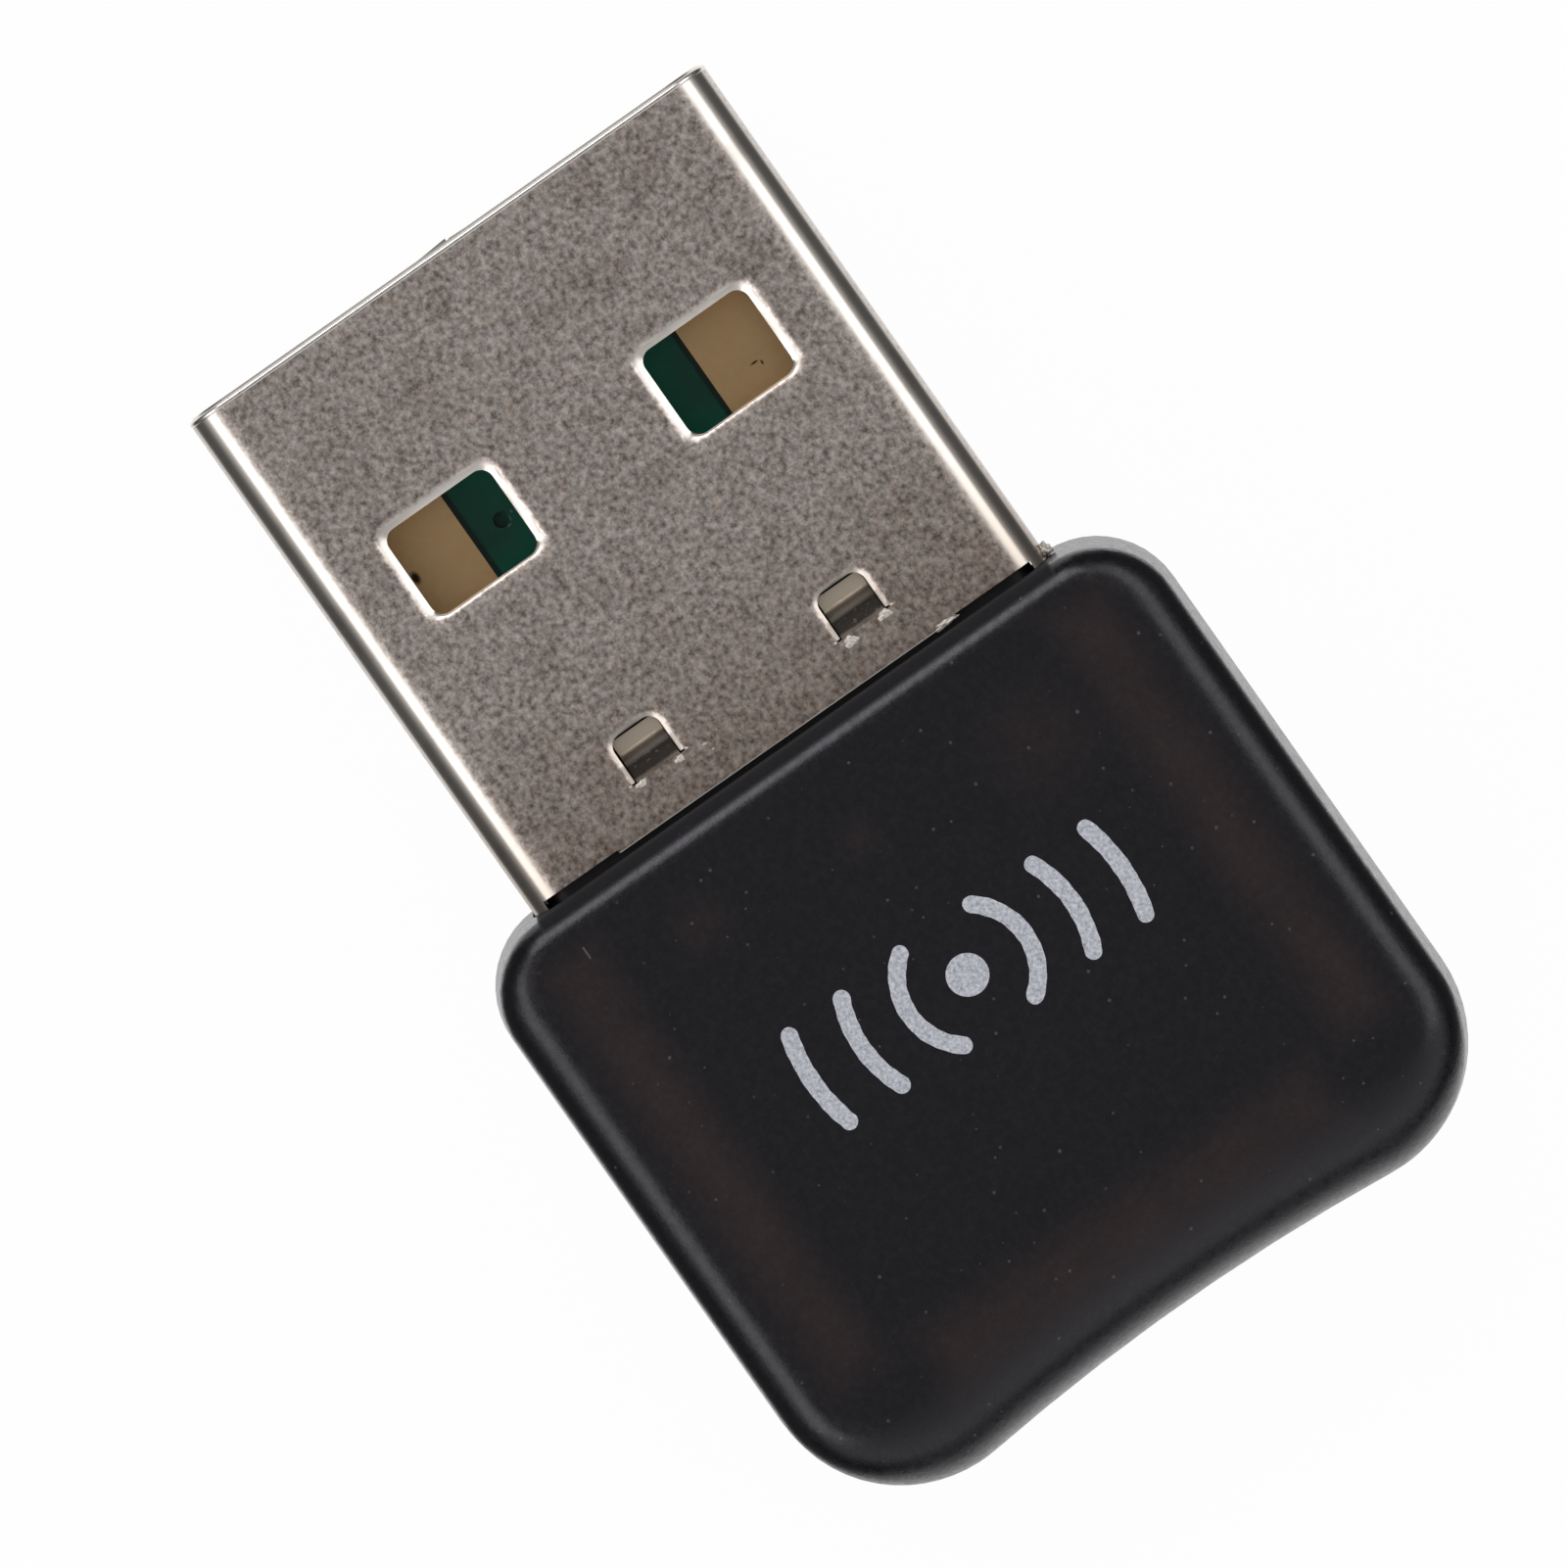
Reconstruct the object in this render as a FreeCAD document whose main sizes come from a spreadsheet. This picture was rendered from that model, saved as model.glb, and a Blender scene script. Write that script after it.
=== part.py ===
import FreeCAD, Part
import Sketcher
import math
import os

# A thumb-sized radio adapter for a computer's flat rectangular socket.
# X points out of the plug's mouth, Z up through the printed face, Y to the left hand.
# The origin lies under the middle of the whole adapter, on the surface it rests on.

os.makedirs("parts", exist_ok=True)
doc = FreeCAD.newDocument("RadioAdapter")
V = FreeCAD.Vector

# Driving sizes, in millimetres and degrees
drivingSizes = {
    # plug shell: stamped and folded sheet
    "plugWidth": 12.0,
    "plugHeight": 4.5,
    "plugReach": 11.52,
    "sheetThickness": 0.3,
    "bendRadius": 0.8,
    "mouthBevel": 0.1,
    "plateStandoff": 0.07,
    "tongueWidth": 7.9,
    "tongueStep": 0.075,
    "seamGap": 0.06,
    # latch windows, two in each plate
    "windowSpacing": 6.0,
    "windowWidth": 2.42,
    "windowLength": 1.93,
    "windowSetback": 3.93,
    "windowCornerRadius": 0.2,
    "windowRoll": 0.28,
    # lanced tabs that lock the carrier
    "tabSpacing": 4.8,
    "tabWindowWidth": 1.08,
    "tabWindowLength": 0.98,
    "tabSetback": 9.64,
    "tabCornerRadius": 0.17,
    "tabRoll": 0.2,
    "tabSideGap": 0.04,
    "tabFrontGap": 0.06,
    "tabDrop": 0.6,
    "tabFootLength": 0.41,
    "tabKneeRun": 0.09,
    "tabKneeRadius": 0.2,
    # legs that go through the housing's front wall
    "neckHeight": 2.4,
    "headHeight": 3.6,
    "headLength": 1.5,
    # housing: two moulded shells, as wide as the plug's legs need and as long as the board needs
    "housingSideRoom": 0.49,
    "housingHeight": 7.0,
    "housingWall": 1.3,
    "housingRoof": 1.25,
    "frontCornerRadius": 1.8,
    "rearCornerRadius": 2.85,
    "scoopDepth": 0.26,
    "draftAngle": 3.0,
    "frontRimRadius": 0.55,
    "sideRimRadius": 0.9,
    "endRimRadius": 2.1,
    "partingBevel": 0.07,
    "socketDepth": 0.52,
    "lipHeight": 0.45,
    "lipThickness": 0.5,
    "lipFrontSetback": 0.5,
    "bossSetback": 2.025,
    "bossSideInset": 2.45,
    "bossRadius": 0.9,
    "pinRadius": 0.5,
    "pinHeight": 1.2,
    "ribThickness": 0.8,
    "ribHalfWidth": 4.3,
    "rearRibInset": 0.9,
    "frontRibInset": 1.4,
    "clampRibWidth": 0.7,
    # running clearance between pieces that fit in each other
    "fitGap": 0.05,
    # board and the tray that carries it
    "trayFloor": 0.9,
    "padThickness": 0.05,
    "boardThickness": 1.0,
    "boardSetback": 0.6,
    "boardBevel": 0.25,
    "boardLegGap": 0.3,
    "boardCornerRadius": 0.3,
    "boardBossGap": 0.06,
    "boardOffset": 0.13,
    "railWidth": 0.55,
    "railGap": 0.02,
    "trayLip": 0.3,
    "trayLipDrop": 0.35,
    "bridgeSetback": 9.35,
    "pocketMargin": 0.12,
    "pocketDepth": 0.9,
    # plated contact pads
    "outerPadWidth": 1.75,
    "outerPadSpacing": 7.28,
    "outerPadSetback": 0.5,
    "innerPadWidth": 1.0,
    "innerPadSpacing": 2.0,
    "innerPadSetback": 1.5,
    "padRearGap": 0.2,
    "padCornerRadius": 0.12,
    # plated via beside the outer pad, seen through a window
    "viaSetback": 5.0,
    "viaShift": 2.2,
    "viaRadius": 0.16,
    "viaDepth": 0.25,
    # radio chip, behind the row of small parts
    "radioSide": 5.0,
    "radioHeight": 0.85,
    "radioRowGap": 0.45,
    "radioShift": 0.9,
    "pinOneRadius": 0.3,
    "pinOneDepth": 0.08,
    "pinOneInset": 0.8,
    # crystal in its can
    "crystalLength": 3.2,
    "crystalWidth": 2.5,
    "crystalBaseHeight": 0.45,
    "crystalLidHeight": 0.35,
    "crystalLidInset": 0.15,
    "crystalCornerRadius": 0.25,
    "crystalRowGap": 0.1,
    "crystalSideGap": 0.1,
    # memory chip with bent legs
    "memoryLength": 2.9,
    "memoryWidth": 1.6,
    "memoryHeight": 1.1,
    "memoryStandoff": 0.08,
    "memorySpan": 2.7,
    "memoryPitch": 0.95,
    "memoryLegsPerSide": 3,
    "memoryLegWidth": 0.38,
    "memoryLegThickness": 0.14,
    "memoryFoot": 0.3,
    "memoryCrystalGap": 0.25,
    "memoryRadioGap": 0.6,
    # supply inductor
    "coilLength": 2.0,
    "coilWidth": 1.6,
    "coilHeight": 1.0,
    "coilCornerRadius": 0.25,
    "coilSolderGap": 0.2,
    "coilRadioGap": 0.15,
    # small chip capacitors and resistors
    "chipLength": 1.0,
    "chipWidth": 0.5,
    "capacitorHeight": 0.5,
    "resistorHeight": 0.35,
    "chipCapLength": 0.22,
    "chipCapSwell": 0.02,
    "chipRowGap": 0.25,
    "rowWallGap": 0.5,
    "supplyRowStart": -0.9,
    "supplyCount": 4,
    "seriesRowGap": 0.6,
    "seriesCount": 2,
    "crystalChipGap": 0.1,
    "crystalRowPitch": 1.9,
    "crystalRowCount": 2,
    "matchingGap": 0.2,
    "matchingShift": 0.2,
    "matchingPitch": 1.8,
    "matchingCount": 2,
    # printed antenna
    "antennaWidth": 6.6,
    "antennaDepth": 1.4,
    "antennaTrackWidth": 0.3,
    "antennaTurns": 5,
    "antennaFrontGap": 0.41,
    "antennaEndGap": 0.42,
    # solder between the shell's legs and the board
    "solderInset": 0.25,
    "solderLength": 1.0,
    "solderHeight": 0.8,
    "solderReach": 0.75,
    # how far a cut runs on past the piece that it ends
    "cutOverrun": 1.0,
}

# Limits used when edges and faces are picked, and when a cut is proved
pickMargin = 0.02
wallNormalRise = 0.5
leastCut = 1e-6

sheet = doc.addObject("Spreadsheet::Sheet", "Sizes")
for row, (alias, number) in enumerate(drivingSizes.items(), start=1):
    sheet.set(f"A{row}", alias)
    sheet.set(f"B{row}", str(number))
    sheet.setAlias(f"B{row}", alias)
doc.recompute()


class Measure:
    """A size that carries its number and the formula that gives it from the sheet."""

    def __init__(self, value, text):
        self.value = value
        self.text = text

    def __add__(self, other):
        other = measure(other)
        return Measure(self.value + other.value, f"({self.text} + {other.text})")

    def __sub__(self, other):
        other = measure(other)
        return Measure(self.value - other.value, f"({self.text} - {other.text})")

    def __mul__(self, other):
        other = measure(other)
        return Measure(self.value * other.value, f"({self.text} * {other.text})")

    def __truediv__(self, other):
        other = measure(other)
        return Measure(self.value / other.value, f"({self.text} / {other.text})")

    def __neg__(self):
        return Measure(-self.value, f"(-1 * {self.text})")

    def __radd__(self, other):
        return measure(other) + self

    def __rsub__(self, other):
        return measure(other) - self

    def __rmul__(self, other):
        return measure(other) * self


def measure(number):
    return number if isinstance(number, Measure) else Measure(float(number), repr(float(number)))


def size(alias):
    return Measure(float(sheet.get(alias)), f"Sizes.{alias}")


def root(square):
    return Measure(math.sqrt(square.value), f"sqrt({square.text})")


# Where the main faces lie, worked out from the driving sizes
gap = size("fitGap")
sheetThickness = size("sheetThickness")
halfPlug = size("plugWidth") / 2
halfHousing = halfPlug + size("housingSideRoom") + size("housingWall")
# the board in the housing: small parts, radio chip, matching parts, antenna, and bosses behind it
partsLength = (size("rowWallGap") + size("chipWidth") + size("radioRowGap") + size("radioSide")
               + size("matchingGap") + size("chipWidth"))
antennaLength = size("antennaFrontGap") + size("antennaDepth") + size("antennaEndGap")
bossLength = size("boardBossGap") + size("bossRadius") + size("bossSetback")
housingLength = size("housingWall") + partsLength + antennaLength + bossLength
mouthX = (size("plugReach") + housingLength) / 2
endX = -mouthX
frontX = mouthX - size("plugReach")
midZ = size("housingHeight") / 2
plugTopZ = midZ + size("plugHeight") / 2
plugBottomZ = midZ - size("plugHeight") / 2
innerTopZ = plugTopZ - sheetThickness
innerBottomZ = plugBottomZ + sheetThickness
innerHalf = halfPlug - sheetThickness
plateEndX = frontX + size("plateStandoff")
socketFloorX = frontX - size("socketDepth")
wallBackX = frontX - size("housingWall")
boardBottomZ = innerBottomZ + size("trayFloor")
boardTopZ = boardBottomZ + size("boardThickness")
boardFrontX = mouthX - size("boardSetback")
boardEndX = endX + bossLength
carrierEndX = socketFloorX + gap
boardShoulderX = carrierEndX - gap
shift = size("boardOffset")
boardSlotHalf = innerHalf - gap - size("railWidth")
boardTongueHalf = boardSlotHalf - size("railGap") - shift
boardBodyHalf = innerHalf - size("boardLegGap")

# Where the parts on the board sit: a row behind the front wall, and the others chained from it
rowX = wallBackX - size("rowWallGap") - size("chipWidth") / 2
rowEndX = rowX - size("chipWidth") / 2
radioX = rowEndX - size("radioRowGap") - size("radioSide") / 2
radioY = size("radioShift")
matchingX = radioX - size("radioSide") / 2 - size("matchingGap") - size("chipWidth") / 2
crystalRowY = radioY - size("radioSide") / 2 - size("crystalChipGap") - size("chipWidth") / 2
crystalX = rowEndX - size("crystalRowGap") - size("crystalLength") / 2
crystalY = crystalRowY - size("chipWidth") / 2 - size("crystalSideGap") - size("crystalWidth") / 2
memoryX = crystalX - size("crystalLength") / 2 - size("memoryCrystalGap") - size("memoryLength") / 2
memoryY = radioY - size("radioSide") / 2 - size("memoryRadioGap") - size("memorySpan") / 2
solderX = wallBackX - gap - size("solderInset")
coilX = solderX - size("solderLength") - size("coilSolderGap") - size("coilLength") / 2
coilY = radioY + size("radioSide") / 2 + size("coilRadioGap") + size("coilWidth") / 2


def setFormula(thing, path, formula):
    thing.setExpression(path, measure(formula).text)


def bodyFor(node):
    body = doc.addObject("PartDesign::Body", node)
    body.Label = node
    return body


def sketchOn(body, role, name, level=0):
    """A sketch on one of the body's origin planes, raised along the plane's normal."""
    plane = [item for item in body.Origin.OriginFeatures if item.Role == role][0]
    sketch = body.newObject("Sketcher::SketchObject", name)
    sketch.AttachmentSupport = [(plane, "")]
    sketch.MapMode = "FlatFace"
    level = measure(level)
    sketch.AttachmentOffset = FreeCAD.Placement(V(0, 0, level.value), FreeCAD.Rotation())
    setFormula(sketch, "AttachmentOffset.Base.z", level)
    return sketch


def pinPoint(sketch, geometry, position, across, upward, tag):
    """Holds one end or centre at its distances from the sketch's origin."""
    for kind, axis, distance in (("DistanceX", -2, across), ("DistanceY", -1, upward)):
        if distance.value == 0:
            sketch.addConstraint(Sketcher.Constraint("PointOnObject", geometry, position, axis))
        else:
            name = f"{tag}{kind[-1]}"
            rule = Sketcher.Constraint(kind, -1, 1, geometry, position, distance.value)
            index = sketch.addConstraint(rule)
            sketch.renameConstraint(index, name)
            setFormula(sketch, f"Constraints.{name}", distance)


def arcBetween(start, end, radius):
    """The short arc from start to end, turning left where the radius is positive."""
    chord = end - start
    middle = (start + end) / 2
    reach = math.sqrt(max(radius * radius - chord.Length ** 2 / 4, 0))
    side = V(-chord.y, chord.x, 0).normalize()
    centre = middle + side * math.copysign(reach, radius)
    first = math.atan2(start.y - centre.y, start.x - centre.x)
    last = math.atan2(end.y - centre.y, end.x - centre.x)
    if radius < 0:
        first, last = last, first
    circle = Part.Circle(centre, V(0, 0, 1), abs(radius))
    return Part.ArcOfCircle(circle, first, last)


def outline(sketch, corners, tag="P"):
    """A closed line through the corners; a third value bends the stretch that ends there."""
    places = [(measure(item[0]), measure(item[1])) for item in corners]
    points = [V(across.value, upward.value, 0) for across, upward in places]
    ends = []
    for index, item in enumerate(corners):
        start = points[index - 1]
        end = points[index]
        radius = measure(item[2]) if len(item) > 2 else None
        if radius is None:
            geometry = sketch.addGeometry(Part.LineSegment(start, end), False)
            ends.append((geometry, 1, 2))
        else:
            geometry = sketch.addGeometry(arcBetween(start, end, radius.value), False)
            ends.append((geometry, 1, 2) if radius.value > 0 else (geometry, 2, 1))
            magnitude = radius if radius.value > 0 else -radius
            rule = sketch.addConstraint(Sketcher.Constraint("Radius", geometry, magnitude.value))
            sketch.renameConstraint(rule, f"{tag}{index}R")
            setFormula(sketch, f"Constraints.{tag}{index}R", magnitude)
    for index, (geometry, first, last) in enumerate(ends):
        following, start, _ = ends[(index + 1) % len(ends)]
        sketch.addConstraint(Sketcher.Constraint("Coincident", geometry, last, following, start))
        pinPoint(sketch, geometry, last, places[index][0], places[index][1], f"{tag}{index}")


def rectangle(sketch, left, right, low, high, radius=None, tag="P"):
    """A rectangle, with all corners rounded where a radius is given."""
    if radius is None:
        outline(sketch, [(left, low), (right, low), (right, high), (left, high)], tag)
        return
    outline(sketch, [
        (left + radius, low, radius), (right - radius, low),
        (right, low + radius, radius), (right, high - radius),
        (right - radius, high, radius), (left + radius, high),
        (left, high - radius, radius), (left, low + radius)], tag)


def frontRounded(sketch, back, front, low, high, radius, tag="P"):
    """A rectangle with square corners at its back and rounded ones at its front."""
    outline(sketch, [
        (back, low), (front - radius, low), (front, low + radius, radius),
        (front, high - radius), (front - radius, high, radius), (back, high)], tag)


def circle(sketch, across, upward, radius, tag="P"):
    across, upward, radius = measure(across), measure(upward), measure(radius)
    shape = Part.Circle(V(across.value, upward.value, 0), V(0, 0, 1), radius.value)
    geometry = sketch.addGeometry(shape, False)
    rule = sketch.addConstraint(Sketcher.Constraint("Radius", geometry, radius.value))
    sketch.renameConstraint(rule, f"{tag}R")
    setFormula(sketch, f"Constraints.{tag}R", radius)
    pinPoint(sketch, geometry, 3, across, upward, tag)


def settle(feature):
    """Recomputes and stops with a plain message where the feature did not build."""
    doc.recompute()
    if "Invalid" in feature.State or feature.Shape.isNull() or not feature.Shape.isValid():
        raise RuntimeError(f"{feature.Label} did not build: {feature.getStatusString()}")
    return feature


def pad(body, sketch, length, name, down=False, symmetric=False):
    feature = body.newObject("PartDesign::Pad", name)
    feature.Profile = sketch
    feature.Reversed = down
    if symmetric:
        feature.SideType = "Symmetric"
    feature.Length = measure(length).value
    setFormula(feature, "Length", length)
    return settle(feature)


def pocket(body, sketch, name, length=None, up=False):
    """Cuts away from the sketch's normal, or along it where up is set; through all without a length."""
    before = body.Shape.Volume
    feature = body.newObject("PartDesign::Pocket", name)
    feature.Profile = sketch
    feature.Reversed = up
    if length is None:
        feature.SideType = "Symmetric"
        feature.Type = "ThroughAll"
    else:
        feature.Length = measure(length).value
        setFormula(feature, "Length", length)
    settle(feature)
    if not feature.Shape.Volume < before - leastCut:
        raise RuntimeError(f"{body.Label}: {name} removed nothing")
    return feature


def edgesWhere(feature, test):
    """Names of the feature's edges whose middle and ends pass the test."""
    names = []
    for index, edge in enumerate(feature.Shape.Edges, start=1):
        middle = edge.valueAt((edge.FirstParameter + edge.LastParameter) / 2)
        if test(edge, middle):
            names.append(f"Edge{index}")
    return names


def dress(body, kind, base, names, amount, label):
    """A fillet or chamfer of the given size on the named edges."""
    feature = body.newObject(f"PartDesign::{kind}", label)
    feature.Base = (base, names)
    path = "Radius" if kind == "Fillet" else "Size"
    setattr(feature, path, measure(amount).value)
    setFormula(feature, path, amount)
    return settle(feature)


def near(value, target):
    return abs(value - target.value) < pickMargin


def count(alias):
    return int(round(size(alias).value))


# Plug shell: one strip of sheet folded to a box, seam in the middle of the lower plate
def makeShell():
    body = bodyFor("usb_shell")
    r = size("bendRadius")
    inner = r - sheetThickness
    legEndX = wallBackX - gap - size("headLength")
    section = sketchOn(body, "YZ_Plane", "ShellSection", mouthX)
    rectangle(section, -halfPlug, halfPlug, plugBottomZ, plugTopZ, r, "Outer")
    rectangle(section, -innerHalf, innerHalf, innerBottomZ, innerTopZ, inner, "Inner")
    wrap = pad(body, section, mouthX - legEndX, "FoldedWrap", down=True)

    # both plates stop before the housing, and the upper one keeps a shallow tongue
    plates = sketchOn(body, "XY_Plane", "PlateEnds", midZ)
    back = legEndX - size("cutOverrun")
    halfTongue = size("tongueWidth") / 2
    tongueX = plateEndX - size("tongueStep")
    outline(plates, [
        (back, -innerHalf), (plateEndX, -innerHalf), (plateEndX, -halfTongue),
        (tongueX, -halfTongue), (tongueX, halfTongue), (plateEndX, halfTongue),
        (plateEndX, innerHalf), (back, innerHalf)])
    pocket(body, plates, "UpperPlateEnd", size("plugHeight"), up=True)
    lower = sketchOn(body, "XY_Plane", "LowerPlateEnd", midZ)
    rectangle(lower, back, plateEndX, -innerHalf, innerHalf)
    pocket(body, lower, "LowerPlateCut", size("plugHeight"))

    # the side walls go on as legs: a neck in the front wall's slot and a wider head behind it
    neckX = socketFloorX + gap
    headX = wallBackX - gap
    for side, name in ((1, "UpperLegCut"), (-1, "LowerLegCut")):
        cut = sketchOn(body, "XZ_Plane", f"{name}Sketch")
        neckZ = midZ + side * size("neckHeight") / 2
        headZ = midZ + side * size("headHeight") / 2
        farZ = midZ + side * size("plugHeight")
        outline(cut, [
            (neckX, farZ), (neckX, neckZ), (headX, neckZ), (headX, headZ), (back, headZ), (back, farZ)])
        pocket(body, cut, name)

    # two latch windows through each plate
    windows = sketchOn(body, "XY_Plane", "LatchWindows", midZ)
    windowFrontX = mouthX - size("windowSetback")
    windowBackX = windowFrontX - size("windowLength")
    for side, tag in ((1, "Left"), (-1, "Right")):
        centre = side * size("windowSpacing") / 2
        half = size("windowWidth") / 2
        rectangle(windows, windowBackX, windowFrontX, centre - half, centre + half,
                  size("windowCornerRadius"), tag)
    opened = pocket(body, windows, "LatchWindowCut")

    # the punch rolled the upper windows' edges
    def windowEdge(edge, middle):
        inside = windowBackX.value - pickMargin < middle.x < windowFrontX.value + pickMargin
        return inside and near(middle.z, plugTopZ) and abs(middle.y) < halfPlug.value - r.value
    rolled = dress(body, "Fillet", opened, edgesWhere(opened, windowEdge), size("windowRoll"), "WindowRoll")

    # mouth edge, eased outside
    def onMouth(edge, middle):
        outer = near(abs(middle.y), halfPlug) or near(middle.z, plugTopZ) or near(middle.z, plugBottomZ)
        corner = abs(middle.y) > halfPlug.value - r.value and abs(middle.z - midZ.value) > (
            size("plugHeight") / 2 - sheetThickness).value
        return near(middle.x, mouthX) and (outer or corner)
    dress(body, "Chamfer", rolled, edgesWhere(rolled, onMouth), size("mouthBevel"), "MouthBevel")

    # openings of the lanced tabs, square at the hinge and round at the free end
    tabFrontX = mouthX - size("tabSetback")
    tabBackX = tabFrontX - size("tabWindowLength")
    tabs = sketchOn(body, "XY_Plane", "TabOpenings", midZ)
    for side, tag in ((1, "Left"), (-1, "Right")):
        low = side * size("tabSpacing") / 2 - size("tabWindowWidth") / 2
        high = low + size("tabWindowWidth")
        frontRounded(tabs, tabBackX, tabFrontX, low, high, size("tabCornerRadius"), tag)
    opened = pocket(body, tabs, "TabOpeningCut", size("plugHeight"), up=True)

    # the punch rolled the openings' edges too, apart from the hinge
    def tabEdge(edge, middle):
        inside = tabBackX.value + pickMargin < middle.x < tabFrontX.value + pickMargin
        return inside and near(middle.z, plugTopZ) and abs(middle.y) < halfPlug.value - r.value
    dress(body, "Fillet", opened, edgesWhere(opened, tabEdge), size("tabRoll"), "TabRoll")

    # each tab hangs from its rear edge, drops steeply and ends in a flat foot
    footEndX = tabFrontX - size("tabFrontGap")
    footStartX = footEndX - size("tabFootLength")
    footTopZ = plugTopZ - size("tabDrop")
    kneeX = footStartX + size("tabKneeRun")
    for side, name in ((1, "LeftTab"), (-1, "RightTab")):
        tab = sketchOn(body, "XZ_Plane", f"{name}Sketch", -side * size("tabSpacing") / 2)
        outline(tab, [
            (tabBackX, innerTopZ), (tabBackX, plugTopZ), (kneeX, footTopZ), (footEndX, footTopZ),
            (footEndX, footTopZ - sheetThickness), (footStartX, footTopZ - sheetThickness)])
        lanced = pad(body, tab, size("tabWindowWidth") - 2 * size("tabSideGap"), name, symmetric=True)

    def knee(edge, middle):
        return near(middle.x, kneeX) and near(middle.z, footTopZ)
    dress(body, "Fillet", lanced, edgesWhere(lanced, knee), size("tabKneeRadius"), "TabKnees")

    # the strip's two ends meet in a straight seam under the plug
    seam = sketchOn(body, "XY_Plane", "SeamSketch", midZ)
    rectangle(seam, back, mouthX + size("cutOverrun"), -size("seamGap") / 2, size("seamGap") / 2)
    pocket(body, seam, "Seam", size("plugHeight"))
    return body


# Housing outline at a given inset from the widest line, with the scooped end
def housingLoop(inset):
    inset = measure(inset)
    rearR = size("rearCornerRadius")
    frontR = size("frontCornerRadius")
    cornerY = halfHousing - rearR
    scoop = size("scoopDepth")
    reach = (scoop * scoop + cornerY * cornerY) / (2 * scoop)
    scoopR = reach - rearR
    scoopX = endX + scoop - scoopR
    cornerX = endX + rearR
    meetX = cornerX + (scoopX - cornerX) * rearR / reach + (cornerX - scoopX) * inset / reach
    meetY = cornerY * (scoopR + inset) / reach
    half = halfHousing - inset
    frontY = half - (frontR - inset)
    return {
        "front": frontX - inset, "half": half, "frontStartX": frontX - frontR, "frontY": frontY,
        "frontR": frontR - inset, "rearR": rearR - inset, "cornerX": cornerX,
        "meetX": meetX, "meetY": meetY, "scoopR": scoopR + inset,
    }


def drawHousingLoop(sketch, inset, tag="P"):
    loop = housingLoop(inset)
    outline(sketch, [
        (loop["front"], -loop["frontY"], loop["frontR"]), (loop["front"], loop["frontY"]),
        (loop["frontStartX"], loop["half"], loop["frontR"]), (loop["cornerX"], loop["half"]),
        (loop["meetX"], loop["meetY"], loop["rearR"]),
        (loop["meetX"], -loop["meetY"], -loop["scoopR"]),
        (loop["cornerX"], -loop["half"], loop["rearR"]), (loop["frontStartX"], -loop["half"])], tag)


def drawLip(sketch, outerInset, innerInset, backX):
    """The U-shaped strip between two insets that runs round the sides and the end."""
    far = housingLoop(outerInset)
    close = housingLoop(innerInset)
    outline(sketch, [
        (backX, far["half"]), (far["cornerX"], far["half"]), (far["meetX"], far["meetY"], far["rearR"]),
        (far["meetX"], -far["meetY"], -far["scoopR"]), (far["cornerX"], -far["half"], far["rearR"]),
        (backX, -far["half"]), (backX, -close["half"]), (close["cornerX"], -close["half"]),
        (close["meetX"], -close["meetY"], -close["rearR"]),
        (close["meetX"], close["meetY"], close["scoopR"]),
        (close["cornerX"], close["half"], -close["rearR"]), (backX, close["half"])])


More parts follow.
